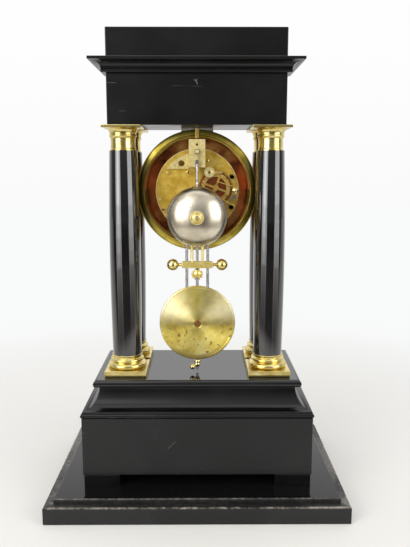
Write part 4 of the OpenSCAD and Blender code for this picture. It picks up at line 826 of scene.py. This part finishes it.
def dial():
    """Minute track, numerals and the eyes of the winding holes."""
    # the paint lies just on the enamel; minute track, then foot and head of the numerals
    y, thick = Y_FACE - 0.02, 0.08
    track_in, track_out, foot, head = 44.6, 47.5, 33.0, 42.6
    bold, hair, serif = 1.2, 0.45, 0.3
    bm = bmesh.new()

    def flat_ring(r0, r1):
        turned(bm, [(r0, 0), (r1, 0), (r1, thick), (r0, thick), (r0, 0)], front(0, y, MZ), 128)

    def stroke(x0, x1, z0, z1, w, turn):
        """A stroke of width w from foot to head, set on the dial at a clock angle."""
        new = bmesh.ops.create_cube(bm, size=1.0)["verts"]
        for v in new:
            x, z = (x1, z1) if v.co.z > 0 else (x0, z0)
            v.co = Vector((x + (w if v.co.x > 0 else -w) / 2, y - (thick if v.co.y < 0 else 0.0), z))
        bmesh.ops.rotate(bm, verts=new, cent=(0, 0, 0), matrix=Matrix.Rotation(radians(turn), 3, "Y"))
        bmesh.ops.translate(bm, verts=new, vec=(0, 0, MZ))

    flat_ring(track_out - 0.3, track_out)
    flat_ring(track_in, track_in + 0.3)
    for i in range(60):
        stroke(0, 0, track_in + 0.2, track_out - 0.2, 0.55 if i % 5 else 1.1, i * 6)
    names = ("XII", "I", "II", "III", "IIII", "V", "VI", "VII", "VIII", "IX", "X", "XI")
    wide = {"I": 2.5, "V": 5.6, "X": 5.8}
    # strokes of each letter: foot, head and width, then its serifs below and above: place and width
    drawn = {"I": [(0, 0, 1.15)], "V": [(-0.1, -1.7, bold), (0.1, 1.7, hair)],
             "X": [(1.8, -1.8, bold), (-1.8, 1.8, hair)]}
    below = {"I": [(0, 2.3)], "V": [], "X": [(-1.8, 2.0), (1.8, 2.0)]}
    above = {"I": [(0, 2.3)], "V": [(-1.7, 2.2), (1.7, 1.7)], "X": [(-1.8, 2.0), (1.8, 2.0)]}
    for hour, word in enumerate(names):
        x, turn = -sum(wide[c] for c in word) / 2, hour * 30
        for c in word:
            m = x + wide[c] / 2
            for x0, x1, w in drawn[c]:
                stroke(m + x0, m + x1, foot, head, w, turn)
            for at, w in below[c]:
                stroke(m + at, m + at, foot, foot + serif, w, turn)
            for at, w in above[c]:
                stroke(m + at, m + at, head - serif, head, w, turn)
            x += wide[c]
    finish_piece("numerals", bm, PAINT, "blued_steel")
    # brass eyes round the two winding holes
    bm = bmesh.new()
    for x in (-20.0, 20.0):
        turned(bm, [(3.4, 0), (4.6, 0), (4.6, 0.15), (4.2, 0.4), (3.6, 0.4), (3.4, 0.2), (3.4, 0)],
               front(x, Y_FACE, MZ - 17.5), 40)
    finish_piece("winding_eyes", bm, GILT, "gilt_brass")


dial()


# Kept parts get their finish

def dress(mat, *names):
    """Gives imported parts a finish."""
    for n in names:
        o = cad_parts[n]
        o.data.materials.clear()
        o.data.materials.append(mat)


dress(BARE, "drum_saddle")
dress(GILT, "bezel_door")
dress(DRUM, "front_ring")
dress(PLATE, "back_plate", "front_plate")
dress(RIM, "drum_straps")
dress(TRAIN, "plate_pillars", "going_barrel", "intermediate_wheel", "centre_wheel", "third_wheel", "escape_wheel",
      "strike_barrel", "strike_second_wheel", "pin_wheel", "stop_wheel", "fly", "cannon_pinion", "minute_wheel",
      "hour_wheel")
dress(PALE, "suspension_cock", "plate_cock", "brass_rods")
# the count wheel and detent carry painted shade in their brass colour
dress(BROWN_AND_SHADED, "count_wheel", "count_detent")
dress(STEEL, "tie_rods", "hanger_bolts", "hinge_pin", "going_arbor", "strike_arbor", "pallet_anchor", "crutch",
      "hammer", "bell_stand", "suspension_spring", "pendulum_rod", "steel_rods")
dress(BLUED, "mainsprings", "minute_hand", "hour_hand")
dress(ENAMEL, "dial")
dress(GLASS, "dial_glass")


# Studio

def paper_floor():
    """White paper under the clock: pale to the eye, with a shadow; polish mirrors its far side and the lamps' feet."""
    bm = bmesh.new()
    bmesh.ops.create_circle(bm, cap_ends=True, cap_tris=False, segments=96, radius=6.0)
    me = bpy.data.meshes.new("floor")
    bm.to_mesh(me)
    bm.free()
    floor = bpy.data.objects.new("floor", me)
    scene.collection.objects.link(floor)
    mat, t, shader, co = fresh("white_paper")
    t.nodes.remove(shader)
    r = put(t, "VectorMath", {0: co}, "Value", operation="LENGTH")
    s = put(t, "SeparateXYZ", {0: co}, None)
    seen = put(t, "LightPath", {}, None)
    # away from the clock the eye sees plain white, and polish mirrors the pale paper behind the clock
    far = put(t, "MapRange", {"Value": r, "From Min": 0.10, "From Max": 0.75})
    aft = put(t, "MapRange", {"Value": s["Y"], "From Min": -0.3, "From Max": -0.9, "To Min": 0.0, "To Max": 0.55})
    kept = put(t, "Math", {0: aft, 1: seen["Is Glossy Ray"]}, operation="MULTIPLY")
    show = put(t, "Math", {0: kept, 1: seen["Is Camera Ray"]}, operation="MAXIMUM")
    eye = put(t, "Math", {0: far, 1: show}, operation="MULTIPLY")
    # the table ends half a metre towards the camera, so polish there mirrors a dark room
    edge = put(t, "MapRange", {"Value": r, "From Min": 0.54, "From Max": 0.66})
    fore = put(t, "MapRange", {"Value": s["Y"], "From Min": 0.05, "From Max": 0.35})
    part = put(t, "Math", {0: edge, 1: fore}, operation="MULTIPLY")
    dark = put(t, "Math", {0: part, 1: seen["Is Glossy Ray"]}, operation="MULTIPLY")
    tone = put(t, "Mix", {"Factor": dark, FROM: lin("#d9d7d2"), TO: lin("#4c4a48")}, MIXED, data_type="RGBA")
    card = put(t, "BsdfDiffuse", {"Color": tone})
    # the soft boxes reach below the table, so polish mirrors their feet, with bright frames, where the table ends
    turn = put(t, "Math", {0: s["X"], 1: s["Y"]}, operation="ARCTAN2")
    even = put(t, "Math", {0: turn, 1: radians(5)}, operation="ADD")
    wide = put(t, "Math", {0: even}, operation="ABSOLUTE")
    half = put(t, "Math", {0: wide, 1: 0.5}, operation="MULTIPLY")
    strip = put(t, "ValToRGB", {"Fac": half},
                stops=((0.235, 0.0), (0.25, 0.9), (0.275, 0.36), (0.545, 0.36), (0.57, 0.9), (0.585, 0.0)))
    run = put(t, "MapRange", {"Value": r, "From Min": 0.55, "From Max": 1.6, "To Min": 0.4, "To Max": 2.4})
    feet = put(t, "Math", {0: strip, 1: run}, operation="MULTIPLY")
    foot = put(t, "Math", {0: feet, 1: seen["Is Glossy Ray"]}, operation="MULTIPLY")
    lit = put(t, "Emission", {"Color": lin("#fffdfa"), "Strength": foot})
    card = put(t, "AddShader", {0: card, 1: lit})
    pale = put(t, "ValToRGB", {"Fac": r}, stops=((0.0, "#efefec"), (0.3, "#f3f3f1"), (0.9, "#f9fafa")))
    glow = put(t, "Emission", {"Color": pale, "Strength": 1.0})
    both = put(t, "MixShader", {0: eye, 1: card, 2: glow})
    feed(t, t.nodes["Material Output"], {"Surface": both})
    me.materials.append(mat)


def room():
    """White paper behind the clock, a dim room on the camera's side, near white to the eye."""
    w = bpy.data.worlds.new("studio")
    scene.world = w
    w.use_nodes = True
    t = w.node_tree
    s = put(t, "SeparateXYZ", {0: put(t, "TexCoord", {}, "Generated")}, None)
    seen = put(t, "LightPath", {}, None)
    side = put(t, "MapRange", {"Value": s["Y"], "From Min": -0.45, "From Max": 0.0})
    sheet = put(t, "ValToRGB", {"Fac": s["Z"]}, stops=((0.0, 0.62), (0.26, 0.70), (0.345, 0.97), (0.5, 0.62)))
    paper = put(t, "Math", {0: sheet, 1: 1.40}, operation="MULTIPLY")
    dim = put(t, "MapRange", {"Value": s["Z"], "From Min": 0.0, "From Max": 0.8, "To Min": 0.15, "To Max": 0.80})
    both = put(t, "Mix", {0: side, 2: paper, 3: dim}, data_type="FLOAT")
    fade = put(t, "MapRange", {"Value": s["Z"], "From Min": -0.10, "From Max": 0.20, "To Min": 0.955, "To Max": 1.0})
    level = put(t, "Mix", {0: seen["Is Camera Ray"], 2: both, 3: fade}, data_type="FLOAT")
    feed(t, t.nodes["Background"], {"Color": lin("#fefeff"), "Strength": level})


def lamp(name, place, aim, wide, tall, radiance):
    """A soft box of the given radiance, where 1 is white paper."""
    light = bpy.data.lights.new(name, "AREA")
    light.shape = "RECTANGLE"
    light.size, light.size_y = wide, tall
    light.energy = radiance * pi * wide * tall
    o = bpy.data.objects.new(name, light)
    scene.collection.objects.link(o)
    place, aim = Vector(place), Vector(aim)
    o.matrix_world = Matrix.Translation(place) @ (aim - place).to_track_quat("-Z", "Y").to_matrix().to_4x4()
    o.visible_camera = False


def around(angle, away, z):
    """A place at an angle from the camera's direction, photo right counted positive."""
    a = radians(angle)
    return (-sin(a) * away, cos(a) * away, z)


def soft_boxes():
    """The left box is brighter in its middle, and both boxes grow dimmer towards the table."""
    away = 1.7
    panels = (("left", -55.2, 0.35, 4.1), ("left_middle", -42, 0.45, 6.8), ("left_inner", -28.8, 0.35, 4.1),
              ("right", 52, 1.1, 3.9))
    steps = (("main", 0.30, 1.50, 1.0), ("mid", 0.22, 0.30, 0.74), ("under", 0.15, 0.22, 0.50),
             ("low", 0.08, 0.15, 0.34), ("foot", 0.01, 0.08, 0.22))
    for side, turn, wide, bright in panels:
        for part, low, high, level in steps:
            z = (low + high) / 2
            lamp("soft_box_" + side + "_" + part, around(turn, away, z), (0, 0, z), wide, high - low, bright * level)
    lamp("top_sheet", (0, -0.1, 1.9), (0, 0, 0.2), 1.8, 1.6, 0.9)
    lamp("high_box_left", around(-26, 1.35, 1.55), (0, 0, 0.30), 0.9, 0.9, 1.4)


paper_floor()
room()
soft_boxes()
